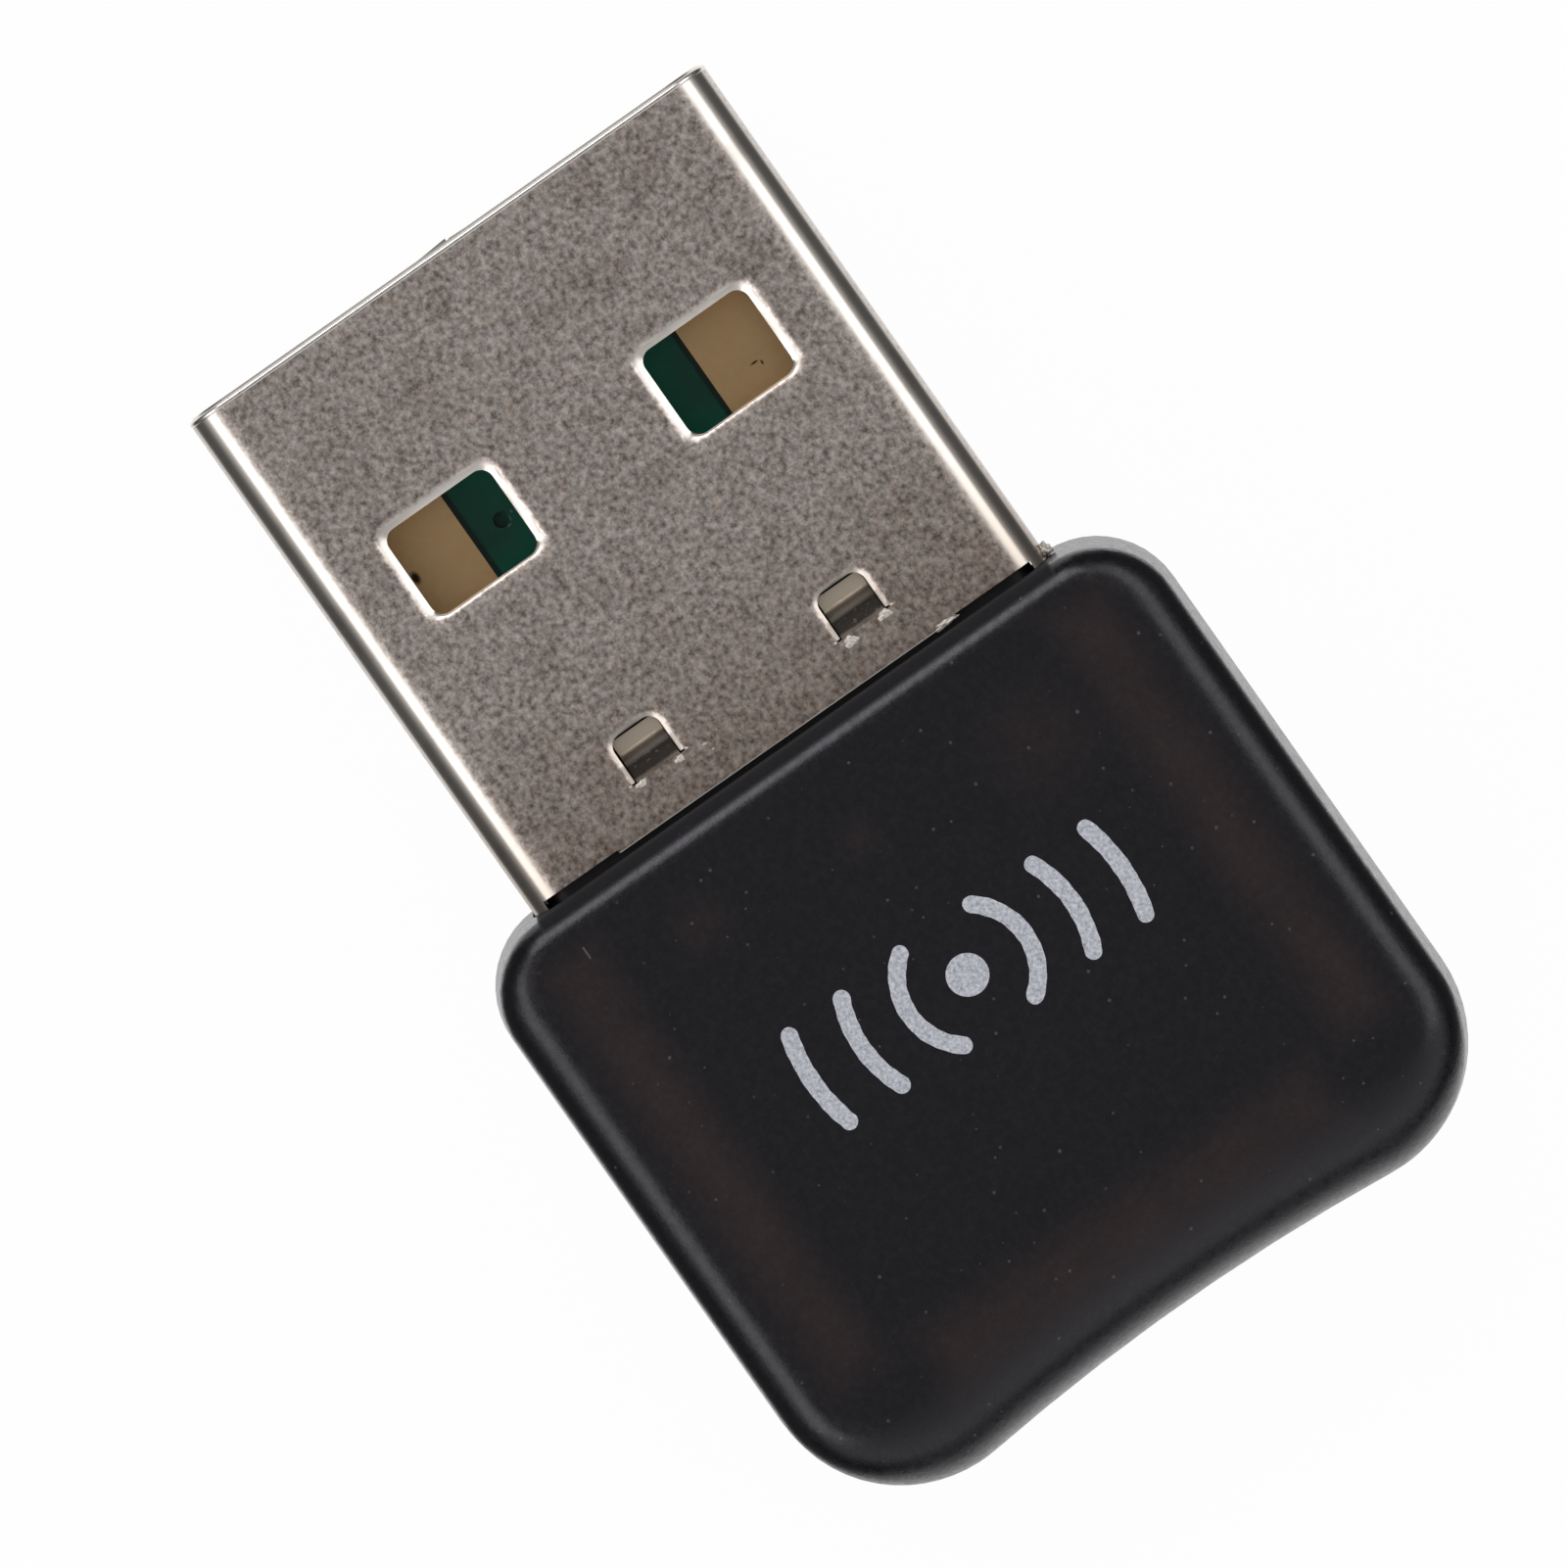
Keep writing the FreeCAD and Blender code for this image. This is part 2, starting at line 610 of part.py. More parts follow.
# One moulded half: side is 1 for the upper and -1 for the lower
def housingHalf(node, side):
    form = bodyFor(f"{node}_form")
    upper = side > 0
    faceZ = midZ + side * midZ
    plan = sketchOn(form, "XY_Plane", "Plan", midZ)
    drawHousingLoop(plan, 0)
    block = pad(form, plan, midZ, "Block", down=not upper)

    # walls lean inwards from the parting line, as they must to leave the mould
    walls = []
    for index, face in enumerate(block.Shape.Faces, start=1):
        across, along = face.ParameterRange[:2], face.ParameterRange[2:]
        if abs(face.normalAt(sum(across) / 2, sum(along) / 2).z) < wallNormalRise:
            walls.append(f"Face{index}")
    draft = form.newObject("PartDesign::Draft", "MouldDraft")
    draft.Base = (block, walls)
    draft.NeutralPlane = (plan, [""])
    draft.Angle = size("draftAngle").value
    setFormula(draft, "Angle", size("draftAngle"))
    draft.Reversed = not upper
    settle(draft)

    # soft rim round the face: even below, and above tight at the front with a long roll at the end
    loop = housingLoop(0)

    def rimRadius(point):
        if point.x < loop["cornerX"].value - pickMargin:
            return size("endRimRadius").value
        if point.x < loop["frontStartX"].value + pickMargin:
            return size("sideRimRadius").value
        return size("frontRimRadius").value

    def evenRadius(point):
        return size("sideRimRadius").value
    radiusAt = rimRadius if upper else evenRadius
    rim = doc.addObject("Part::Fillet", f"{node}_rim")
    rim.Base = form
    rounds = []
    for index, edge in enumerate(form.Shape.Edges, start=1):
        ends = [edge.valueAt(edge.FirstParameter), edge.valueAt(edge.LastParameter)]
        if all(near(end.z, faceZ) for end in ends):
            rounds.append((index, radiusAt(ends[0]), radiusAt(ends[1])))
    rim.Edges = rounds
    settle(rim)
    body = bodyFor(node)
    body.BaseFeature = rim
    doc.recompute()
    rim = body.Group[0]

    # fine bevel on both halves, which shows as the line between them
    def onParting(edge, middle):
        return near(middle.z, midZ)
    dress(body, "Chamfer", rim, edgesWhere(rim, onParting), size("partingBevel"), "PartingBevel")

    # cavity
    room = sketchOn(body, "XY_Plane", "Cavity", midZ)
    drawHousingLoop(room, size("housingWall"))
    pocket(body, room, "CavityCut", midZ - size("housingRoof"), up=upper)

    # bosses in the two rear corners
    bossX = endX + size("bossSetback")
    bossY = halfHousing - size("bossSideInset")
    bossStartZ = midZ + gap if upper else midZ
    for hand, tag in ((1, "Left"), (-1, "Right")):
        bosses = sketchOn(body, "XY_Plane", f"{tag}BossSketch", bossStartZ)
        circle(bosses, bossX, hand * bossY, size("bossRadius"))
        depth = side * (faceZ - bossStartZ) - size("housingRoof") / 2
        pad(body, bosses, depth, f"{tag}Boss", down=not upper)

    rearRibX = boardEndX + size("rearRibInset")
    halfRib = size("ribThickness") / 2
    if upper:
        # blind holes in the bosses, blocks that hold the board down, and the rebate for the lip
        holes = sketchOn(body, "XY_Plane", "PinHoles", midZ)
        circle(holes, bossX, bossY, size("pinRadius") + gap, "Left")
        circle(holes, bossX, -bossY, size("pinRadius") + gap, "Right")
        pocket(body, holes, "PinHoleCut", size("pinHeight") + 2 * gap, up=True)
        for hand, tag in ((1, "Left"), (-1, "Right")):
            clamp = sketchOn(body, "XY_Plane", f"{tag}ClampSketch", boardTopZ)
            close = size("ribHalfWidth")
            far = close + size("clampRibWidth")
            low, high = (close, far) if hand > 0 else (-far, -close)
            rectangle(clamp, rearRibX - halfRib, rearRibX + halfRib, low, high)
            pad(body, clamp, faceZ - boardTopZ - size("housingRoof") / 2, f"{tag}Clamp")
        rebate = sketchOn(body, "XY_Plane", "Rebate", midZ)
        lipInset = size("housingWall") - size("lipThickness")
        lipFrontX = wallBackX - size("lipFrontSetback")
        drawLip(rebate, lipInset - gap, size("housingWall") + gap, lipFrontX + gap)
        pocket(body, rebate, "RebateCut", size("lipHeight") + gap, up=True)
    else:
        # pins on the bosses, ribs under the board, and the lip that locates the other half
        for hand, tag in ((1, "Left"), (-1, "Right")):
            pins = sketchOn(body, "XY_Plane", f"{tag}PinSketch", midZ)
            circle(pins, bossX, hand * bossY, size("pinRadius"))
            pad(body, pins, size("pinHeight"), f"{tag}Pin")
        frontRibX = wallBackX - size("frontRibInset")
        for ribX, tag in ((rearRibX, "Rear"), (frontRibX, "Front")):
            rib = sketchOn(body, "XY_Plane", f"{tag}RibSketch", boardBottomZ)
            rectangle(rib, ribX - halfRib, ribX + halfRib, -size("ribHalfWidth"), size("ribHalfWidth"))
            pad(body, rib, boardBottomZ - size("housingRoof") / 2, f"{tag}Rib", down=True)
        lip = sketchOn(body, "XY_Plane", "Lip", midZ)
        lipInset = size("housingWall") - size("lipThickness")
        lipFrontX = wallBackX - size("lipFrontSetback")
        drawLip(lip, lipInset, size("housingWall"), lipFrontX)
        pad(body, lip, size("lipHeight"), "LipPad")

    # seat for the plug shell in the front wall, then the slots for its legs and the board
    seat = sketchOn(body, "YZ_Plane", "ShellSeat", frontX)
    rectangle(seat, -halfPlug - gap, halfPlug + gap, plugBottomZ - gap, plugTopZ + gap,
              size("bendRadius") + gap)
    pocket(body, seat, "ShellSeatCut", size("socketDepth"))
    slots = sketchOn(body, "YZ_Plane", "FrontSlots", socketFloorX)
    slotOut = halfPlug + gap
    slotIn = innerHalf - gap
    neckZ = midZ + side * (size("neckHeight") / 2 + gap)
    if upper:
        rectangle(slots, slotIn, slotOut, midZ, neckZ, None, "Left")
        rectangle(slots, -slotOut, -slotIn, midZ, neckZ, None, "Right")
    else:
        sillZ = boardBottomZ - gap
        outline(slots, [
            (-slotOut, midZ), (-slotOut, neckZ), (-slotIn, neckZ), (-slotIn, sillZ),
            (slotIn, sillZ), (slotIn, neckZ), (slotOut, neckZ), (slotOut, midZ)])
    pocket(body, slots, "FrontSlotCut", size("housingWall") - size("socketDepth") + gap)
    return body


# Moulded tray inside the plug: carries the board, with rails beside it and a bridge over its rear
def makeCarrier():
    body = bodyFor("contact_carrier")
    half = innerHalf - gap
    r = size("bendRadius") - sheetThickness
    slotHalf = boardSlotHalf
    trayFrontX = boardFrontX + size("trayLip")
    tray = sketchOn(body, "YZ_Plane", "TraySection", trayFrontX)
    outline(tray, [
        (-half + r, innerBottomZ, r), (half - r, innerBottomZ), (half, innerBottomZ + r, r),
        (half, boardTopZ), (-half, boardTopZ), (-half, innerBottomZ + r)])
    pad(body, tray, trayFrontX - carrierEndX, "Tray", down=True)
    slot = sketchOn(body, "XY_Plane", "BoardSlot", boardTopZ)
    rectangle(slot, carrierEndX, boardFrontX + size("railGap"), -slotHalf, slotHalf)
    pocket(body, slot, "BoardSlotCut", size("boardThickness"))
    lip = sketchOn(body, "XY_Plane", "FrontLip", boardTopZ)
    rectangle(lip, boardFrontX, trayFrontX, -half, half)
    pocket(body, lip, "FrontLipCut", size("trayLipDrop"))

    bridgeX = mouthX - size("bridgeSetback")
    bridgeTopZ = innerTopZ - gap
    bridge = sketchOn(body, "YZ_Plane", "BridgeSection", bridgeX)
    outline(bridge, [
        (-slotHalf, boardTopZ), (-slotHalf, boardTopZ + gap), (slotHalf, boardTopZ + gap),
        (slotHalf, boardTopZ), (half, boardTopZ), (half, bridgeTopZ - r), (half - r, bridgeTopZ, r),
        (-half + r, bridgeTopZ), (-half, bridgeTopZ - r, r), (-half, boardTopZ)])
    pad(body, bridge, bridgeX - carrierEndX, "Bridge", down=True)
    margin = size("pocketMargin")
    tabFrontX = mouthX - size("tabSetback")
    tabBackX = tabFrontX - size("tabWindowLength")
    reach = size("tabWindowWidth") / 2 + margin
    pockets = sketchOn(body, "XY_Plane", "TabPockets", bridgeTopZ)
    for hand, tag in ((1, "Left"), (-1, "Right")):
        centre = hand * size("tabSpacing") / 2
        rectangle(pockets, tabBackX - margin, tabFrontX + margin, centre - reach, centre + reach, None, tag)
    pocket(body, pockets, "TabPocketCut", size("pocketDepth"))
    return body


# Circuit board: a narrower tongue in the plug, stepping out to full width in the housing
def makeBoard():
    body = bodyFor("circuit_board")
    tongue = boardTongueHalf
    wide = boardBodyHalf
    r = size("boardCornerRadius")
    plan = sketchOn(body, "XY_Plane", "BoardPlan", boardBottomZ)
    outline(plan, [
        (boardEndX, shift - wide + r), (boardEndX + r, shift - wide, r), (boardShoulderX, shift - wide),
        (boardShoulderX, shift - tongue), (boardFrontX, shift - tongue), (boardFrontX, shift + tongue),
        (boardShoulderX, shift + tongue), (boardShoulderX, shift + wide), (boardEndX + r, shift + wide),
        (boardEndX, shift + wide - r, r)])
    slab = pad(body, plan, size("boardThickness"), "Slab")

    def onFront(edge, middle):
        flat = near(middle.z, boardTopZ) or near(middle.z, boardBottomZ)
        return near(middle.x, boardFrontX) and flat
    dress(body, "Chamfer", slab, edgesWhere(slab, onFront), size("boardBevel"), "FrontBevel")
    via = sketchOn(body, "XY_Plane", "ViaSketch", boardTopZ)
    circle(via, mouthX - size("viaSetback"), size("viaShift"), size("viaRadius"))
    pocket(body, via, "ViaDimple", size("viaDepth"))
    return body


# One plated pad on the board's tongue
def contactPad(node, across, width, setback):
    body = bodyFor(node)
    plan = sketchOn(body, "XY_Plane", "PadPlan", boardTopZ)
    startX = boardFrontX - setback
    stopX = mouthX - size("bridgeSetback") + size("padRearGap")
    centre = across + shift
    frontRounded(plan, stopX, startX, centre - width / 2, centre + width / 2, size("padCornerRadius"))
    pad(body, plan, size("padThickness"), "Plating")
    return body


# Radio chip in a flat square package, with a dimple at its first contact
def makeRadio():
    body = bodyFor("radio_chip")
    half = size("radioSide") / 2
    plan = sketchOn(body, "XY_Plane", "ChipPlan", boardTopZ)
    rectangle(plan, radioX - half, radioX + half, radioY - half, radioY + half)
    pad(body, plan, size("radioHeight"), "Moulding")
    dot = sketchOn(body, "XY_Plane", "PinOne", boardTopZ + size("radioHeight"))
    inset = size("pinOneInset")
    circle(dot, radioX + half - inset, radioY + half - inset, size("pinOneRadius"))
    pocket(body, dot, "PinOneDimple", size("pinOneDepth"))
    return body


# Crystal: ceramic base with a metal lid
def makeCrystal():
    body = bodyFor("crystal_can")
    r = size("crystalCornerRadius")
    halfX = size("crystalLength") / 2
    halfY = size("crystalWidth") / 2
    lidInset = size("crystalLidInset")
    base = sketchOn(body, "XY_Plane", "BasePlan", boardTopZ)
    rectangle(base, crystalX - halfX, crystalX + halfX, crystalY - halfY, crystalY + halfY, r)
    pad(body, base, size("crystalBaseHeight"), "Base")
    lid = sketchOn(body, "XY_Plane", "LidPlan", boardTopZ + size("crystalBaseHeight"))
    rectangle(lid, crystalX - halfX + lidInset, crystalX + halfX - lidInset,
              crystalY - halfY + lidInset, crystalY + halfY - lidInset, r)
    pad(body, lid, size("crystalLidHeight"), "Lid")
    return body


# Memory chip: moulded body with drafted sides and bent legs on both sides
def makeMemory():
    body = bodyFor("memory_chip")
    halfX = size("memoryLength") / 2
    halfY = size("memoryWidth") / 2
    baseZ = boardTopZ + size("memoryStandoff")
    plan = sketchOn(body, "XY_Plane", "MouldingPlan", baseZ)
    rectangle(plan, memoryX - halfX, memoryX + halfX, memoryY - halfY, memoryY + halfY)
    pad(body, plan, size("memoryHeight"), "Moulding")
    thick = size("memoryLegThickness")
    legTopZ = baseZ + size("memoryHeight") / 2
    firstX = memoryX - (size("memoryLegsPerSide") - 1) * size("memoryPitch") / 2
    legs = sketchOn(body, "YZ_Plane", "LegProfile", firstX)
    for hand, tag in ((1, "Left"), (-1, "Right")):
        rootY = memoryY + hand * (halfY - thick)
        tipY = memoryY + hand * size("memorySpan") / 2
        bendY = tipY - hand * size("memoryFoot")
        outline(legs, [
            (rootY, legTopZ), (bendY, legTopZ), (bendY, boardTopZ + thick), (tipY, boardTopZ + thick),
            (tipY, boardTopZ), (bendY - hand * thick, boardTopZ), (bendY - hand * thick, legTopZ - thick),
            (rootY, legTopZ - thick)], tag)
    firstLegs = pad(body, legs, size("memoryLegWidth"), "FirstLegs", symmetric=True)
    row = body.newObject("PartDesign::LinearPattern", "LegRow")
    row.Originals = [firstLegs]
    axis = [item for item in body.Origin.OriginFeatures if item.Role == "X_Axis"][0]
    row.Direction = (axis, [""])
    row.Occurrences = count("memoryLegsPerSide")
    setFormula(row, "Occurrences", size("memoryLegsPerSide"))
    rowLength = (size("memoryLegsPerSide") - 1) * size("memoryPitch")
    row.Length = rowLength.value
    setFormula(row, "Length", rowLength)
    body.Tip = row
    settle(row)
    return body


# Supply inductor: moulded block with rounded corners
def makeInductor():
    body = bodyFor("supply_inductor")
    halfX = size("coilLength") / 2
    halfY = size("coilWidth") / 2
    plan = sketchOn(body, "XY_Plane", "CoilPlan", boardTopZ)
    rectangle(plan, coilX - halfX, coilX + halfX, coilY - halfY, coilY + halfY, size("coilCornerRadius"))
    pad(body, plan, size("coilHeight"), "CoilBlock")
    return body


def boxAt(name, low, extent):
    """A block from its lowest corner and its three sizes."""
    block = doc.addObject("Part::Box", name)
    for path, value in zip(("Length", "Width", "Height"), extent):
        setFormula(block, path, value)
    for axis, value in zip("xyz", low):
        setFormula(block, f"Placement.Base.{axis}", value)
    return block


# A row of small chip parts, each a ceramic block with a plated cap on both ends
def chipGroup(node, places, height, alongX=False):
    length = size("chipLength")
    width = size("chipWidth")
    cap = size("chipCapLength")
    swell = size("chipCapSwell")
    blocks = []
    for index, (centreX, centreY) in enumerate(places, start=1):
        for start, stretch, extra, tag in (
                (-length / 2 + swell, length - 2 * swell, measure(0), "Core"),
                (-length / 2, cap, swell, "NearCap"), (length / 2 - cap, cap, swell, "FarCap")):
            side = width - 2 * swell + 2 * extra
            low = (centreX + start, centreY - side / 2) if alongX else (centreX - side / 2, centreY + start)
            extent = (stretch, side) if alongX else (side, stretch)
            blocks.append(boxAt(f"{node}{tag}{index}", (low[0], low[1], boardTopZ),
                                (extent[0], extent[1], height - swell + extra)))
    group = doc.addObject("Part::MultiFuse", node)
    group.Label = node
    group.Shapes = blocks
    group.Refine = True
    doc.recompute()
    return group


# Printed antenna: one track that runs to and fro across the board's end
def makeAntenna():
    body = bodyFor("antenna_trace")
    width = size("antennaTrackWidth")
    half = width / 2
    bars = 2 * count("antennaTurns")
    pitch = (size("antennaWidth") - width) / (bars - 1)
    low = boardEndX + size("antennaEndGap")
    high = low + size("antennaDepth")
    centres = [shift + index * pitch - (size("antennaWidth") - width) / 2 for index in range(bars)]
    going = [(low, centres[0] - half)]
    coming = [(low, centres[0] + half)]
    for index in range(bars - 1):
        here, following = centres[index], centres[index + 1]
        if index % 2 == 0:
            going += [(high, here - half), (high, following + half)]
            coming += [(high - width, here + half), (high - width, following - half)]
        else:
            going += [(low + width, here + half), (low + width, following - half)]
            coming += [(low, here - half), (low, following + half)]
    going.append((low, centres[-1] + half))
    coming.append((low, centres[-1] - half))
    plan = sketchOn(body, "XY_Plane", "TrackPlan", boardTopZ)
    outline(plan, going + coming[::-1])
    pad(body, plan, size("padThickness"), "Track")
    return body


# Solder that joins both legs of the shell to the board
def makeSolder():
    body = bodyFor("shell_solder")
    body.AllowCompound = True
    beads = sketchOn(body, "YZ_Plane", "BeadSection", solderX)
    height = size("solderHeight")
    reach = size("solderReach")
    hollow = height + reach
    for hand, tag in ((1, "Left"), (-1, "Right")):
        outline(beads, [
            (hand * innerHalf, boardTopZ), (hand * innerHalf, boardTopZ + height),
            (hand * (innerHalf - reach), boardTopZ, hand * hollow)], tag)
    pad(body, beads, size("solderLength"), "Beads", down=True)
    return body


outerOffset = size("outerPadSpacing") / 2
innerOffset = size("innerPadSpacing") / 2
rowPitch = size("chipLength") + size("chipRowGap")
supplyY = size("supplyRowStart")
seriesY = supplyY - size("chipLength") - size("seriesRowGap")
crystalRowX = crystalX - (size("crystalRowCount") - 1) * size("crystalRowPitch") / 2
matchingY = size("matchingShift")
supplyPlaces = [(rowX, supplyY + index * rowPitch) for index in range(count("supplyCount"))]
seriesPlaces = [(rowX, seriesY - index * rowPitch) for index in range(count("seriesCount"))]
crystalPlaces = [
    (crystalRowX + index * size("crystalRowPitch"), crystalRowY)
    for index in range(count("crystalRowCount"))]
matchingPlaces = [
    (matchingX, matchingY + index * size("matchingPitch")) for index in range(count("matchingCount"))]
subParts = [
    makeShell(),
    housingHalf("housing_top", 1),
    housingHalf("housing_bottom", -1),
    makeCarrier(),
    makeBoard(),
    contactPad("contact_power", outerOffset, size("outerPadWidth"), size("outerPadSetback")),
    contactPad("contact_data_minus", innerOffset, size("innerPadWidth"), size("innerPadSetback")),
    contactPad("contact_data_plus", -innerOffset, size("innerPadWidth"), size("innerPadSetback")),
    contactPad("contact_ground", -outerOffset, size("outerPadWidth"), size("outerPadSetback")),
    makeRadio(),
    makeCrystal(),
    makeMemory(),
    makeInductor(),
    chipGroup("supply_capacitors", supplyPlaces, size("capacitorHeight")),
    chipGroup("series_resistors", seriesPlaces, size("resistorHeight")),
    chipGroup("crystal_capacitors", crystalPlaces, size("capacitorHeight"), alongX=True),
    chipGroup("matching_parts", matchingPlaces, size("capacitorHeight")),
    makeAntenna(),
    makeSolder(),
]

doc.recompute()
for thing in doc.Objects:
    if "Invalid" in thing.State or "Error" in thing.State:
        raise RuntimeError(f"{thing.Label} did not build: {thing.getStatusString()}")
for part in subParts:
    if part.Shape.isNull() or not part.Shape.isValid():
        raise RuntimeError(f"{part.Label} has no valid shape")
    part.Shape.exportStep(f"parts/{part.Label}.step")
    box = part.Shape.BoundBox
    print(f"{part.Label}: {len(part.Shape.Solids)} solid(s), {part.Shape.Volume:.2f} mm3, "
          f"x {box.XMin:.2f}..{box.XMax:.2f} y {box.YMin:.2f}..{box.YMax:.2f} "
          f"z {box.ZMin:.2f}..{box.ZMax:.2f}")
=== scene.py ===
import math

import bmesh
import bpy
import numpy as np
from mathutils import Matrix, Vector


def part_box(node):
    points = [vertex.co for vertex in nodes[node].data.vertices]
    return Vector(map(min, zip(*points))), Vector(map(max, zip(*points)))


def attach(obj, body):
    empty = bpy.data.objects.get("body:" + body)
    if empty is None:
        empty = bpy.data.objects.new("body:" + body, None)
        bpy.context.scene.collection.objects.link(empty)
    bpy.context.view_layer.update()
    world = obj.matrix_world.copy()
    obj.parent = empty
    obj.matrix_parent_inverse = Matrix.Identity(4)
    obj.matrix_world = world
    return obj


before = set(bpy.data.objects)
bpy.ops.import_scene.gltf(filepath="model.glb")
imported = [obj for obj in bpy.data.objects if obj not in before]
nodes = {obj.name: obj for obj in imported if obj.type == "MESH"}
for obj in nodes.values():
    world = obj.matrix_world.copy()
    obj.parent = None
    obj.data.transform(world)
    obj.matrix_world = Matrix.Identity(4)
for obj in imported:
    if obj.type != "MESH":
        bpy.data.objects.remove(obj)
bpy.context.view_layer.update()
mm = 0.001
print("frame loaded:", len(nodes), "nodes")

# Places read from the frame: the plug's shell, the upper half of the housing, the board and its outer pads
shellLow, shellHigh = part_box("usb_shell")
topLow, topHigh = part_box("housing_top")
boardLow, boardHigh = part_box("circuit_board")
powerLow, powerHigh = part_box("contact_power")
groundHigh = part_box("contact_ground")[1]
mouthX = shellHigh.x
plugTopZ = shellHigh.z
plugBottomZ = shellLow.z
housingTopZ = topHigh.z
housingEndX = topLow.x


# A place or a size given in mm, turned into metres
def inMm(*values):
    return tuple(value * mm for value in values)


# A place given in mm: rearward from the mouth, leftward from the middle and upward from a level
def behindMouth(back, left, level, up=0.0):
    return (mouthX - back * mm, left * mm, level + up * mm)


# A colour from its shares of red, green and blue, all of it opaque
def rgb(red, green, blue):
    return (red, green, blue, 1.0)


# A socket linked to another node's output, or set to a plain value
def feed(tree, socket, value):
    if isinstance(value, bpy.types.NodeSocket):
        tree.links.new(value, socket)
    else:
        socket.default_value = value


# A node with its settings given and its inputs fed
def addNode(tree, kind, inputs=None, **settings):
    node = tree.nodes.new(kind)
    for name, value in settings.items():
        setattr(node, name, value)
    for name, value in (inputs or {}).items():
        feed(tree, node.inputs[name], value)
    return node


# One calculation: first and second joined by the operation; MULTIPLY_ADD gives first * second + third
def maths(tree, operation, first, second=0.0, third=0.0, clamp=False):
    return addNode(tree, "ShaderNodeMath", {0: first, 1: second, 2: third},
                   operation=operation, use_clamp=clamp).outputs[0]


# One calculation on vectors, part by part; output "Value" is a length, the root of the sum of squares
def vectorMaths(tree, operation, first, second, output=0):
    return addNode(tree, "ShaderNodeVectorMath", {0: first, 1: second}, operation=operation).outputs[output]


# newLow where the value is low, newHigh where it is high, and between them an S curve or a straight line
def mapRange(tree, value, low, high, newLow, newHigh, smooth=True):
    node = addNode(tree, "ShaderNodeMapRange", {
        "Value": value, "From Min": low, "From Max": high, "To Min": newLow, "To Max": newHigh},
        interpolation_type="SMOOTHSTEP" if smooth else "LINEAR")
    return node.outputs["Result"]


# (1 - factor) * first + factor * blend, where the blend is the second colour or the product of both
def mixColour(tree, factor, first, second, blend="MIX"):
    node = addNode(tree, "ShaderNodeMix", {0: factor, 6: first, 7: second},
                   data_type="RGBA", blend_type=blend)
    return node.outputs[2]


# The place on a piece, in metres from the part's origin
def objectPlace(tree):
    return addNode(tree, "ShaderNodeTexCoord").outputs["Object"]


# A vector's three parts, one output for each
def separate(tree, vector):
    return addNode(tree, "ShaderNodeSeparateXYZ", {0: vector}).outputs


# The same place with Y made positive, for marks that repeat on both sides of the middle
def mirroredPlace(tree, place):
    x, y, z = separate(tree, place)
    return addNode(tree, "ShaderNodeCombineXYZ", {0: x, 1: maths(tree, "ABSOLUTE", y), 2: z}).outputs[0]


# A group with named inputs (name, kind, default) and outputs (name, kind)
def newGroup(name, inputs, outputs):
    tree = bpy.data.node_groups.new(name, "ShaderNodeTree")
    for label, kind, default in inputs:
        socket = tree.interface.new_socket(label, in_out="INPUT", socket_type=kind)
        if default is not None:
            socket.default_value = default
    for label, kind in outputs:
        tree.interface.new_socket(label, in_out="OUTPUT", socket_type=kind)
    entry = tree.nodes.new("NodeGroupInput")
    leave = tree.nodes.new("NodeGroupOutput")
    return tree, entry.outputs, leave.inputs


# What the effects share: the grain's octaves, an even grain's spread and heights, and the smallest speck
effectLook = {"octaves": 5.0, "octaveShare": 0.72, "evenSpread": 0.2, "lowHeight": 0.3, "highHeight": 0.7,
              "smallestSpeck": 0.3}


# Grain: noise of several octaves measured by its largest specks; Mask is its share about the middle value
def makeGrainGroup():
    tree, given, result = newGroup(
        "grain",
        [("Place", "NodeSocketVector", None), ("Size", "NodeSocketFloat", 0.2 * mm),
         ("Spread", "NodeSocketFloat", 0.22)],
        [("Height", "NodeSocketFloat"), ("Mask", "NodeSocketFloat")])
    noise = addNode(tree, "ShaderNodeTexNoise", {
        "Vector": given["Place"], "Scale": maths(tree, "DIVIDE", 1.0, given["Size"]),
        "Detail": effectLook["octaves"], "Roughness": effectLook["octaveShare"]}).outputs[0]
    low = maths(tree, "SUBTRACT", 0.5, given["Spread"])
    high = maths(tree, "ADD", 0.5, given["Spread"])
    feed(tree, result["Height"], noise)
    feed(tree, result["Mask"], mapRange(tree, noise, low, high, 0.0, 1.0, smooth=False))
    return tree


# Dust: round specks in a share of the cells of a Voronoi pattern, each with its own size
def makeDustGroup():
    tree, given, result = newGroup(
        "dust",
        [("Place", "NodeSocketVector", None), ("Spacing", "NodeSocketFloat", 0.5 * mm),
         ("Share", "NodeSocketFloat", 0.2), ("Radius", "NodeSocketFloat", 0.06)],
        [("Mask", "NodeSocketFloat")])
    cells = addNode(tree, "ShaderNodeTexVoronoi", {
        "Vector": given["Place"], "Scale": maths(tree, "DIVIDE", 1.0, given["Spacing"])})
    parts = addNode(tree, "ShaderNodeSeparateColor", {"Color": cells.outputs["Color"]})
    chosen = maths(tree, "LESS_THAN", parts.outputs[0], given["Share"])
    size = maths(tree, "ADD", parts.outputs[1], effectLook["smallestSpeck"])
    away = maths(tree, "DIVIDE", cells.outputs["Distance"], maths(tree, "MULTIPLY", given["Radius"], size))
    inside = maths(tree, "SUBTRACT", 1.0, away, clamp=True)
    feed(tree, result["Mask"], maths(tree, "MULTIPLY", chosen, inside))
    return tree


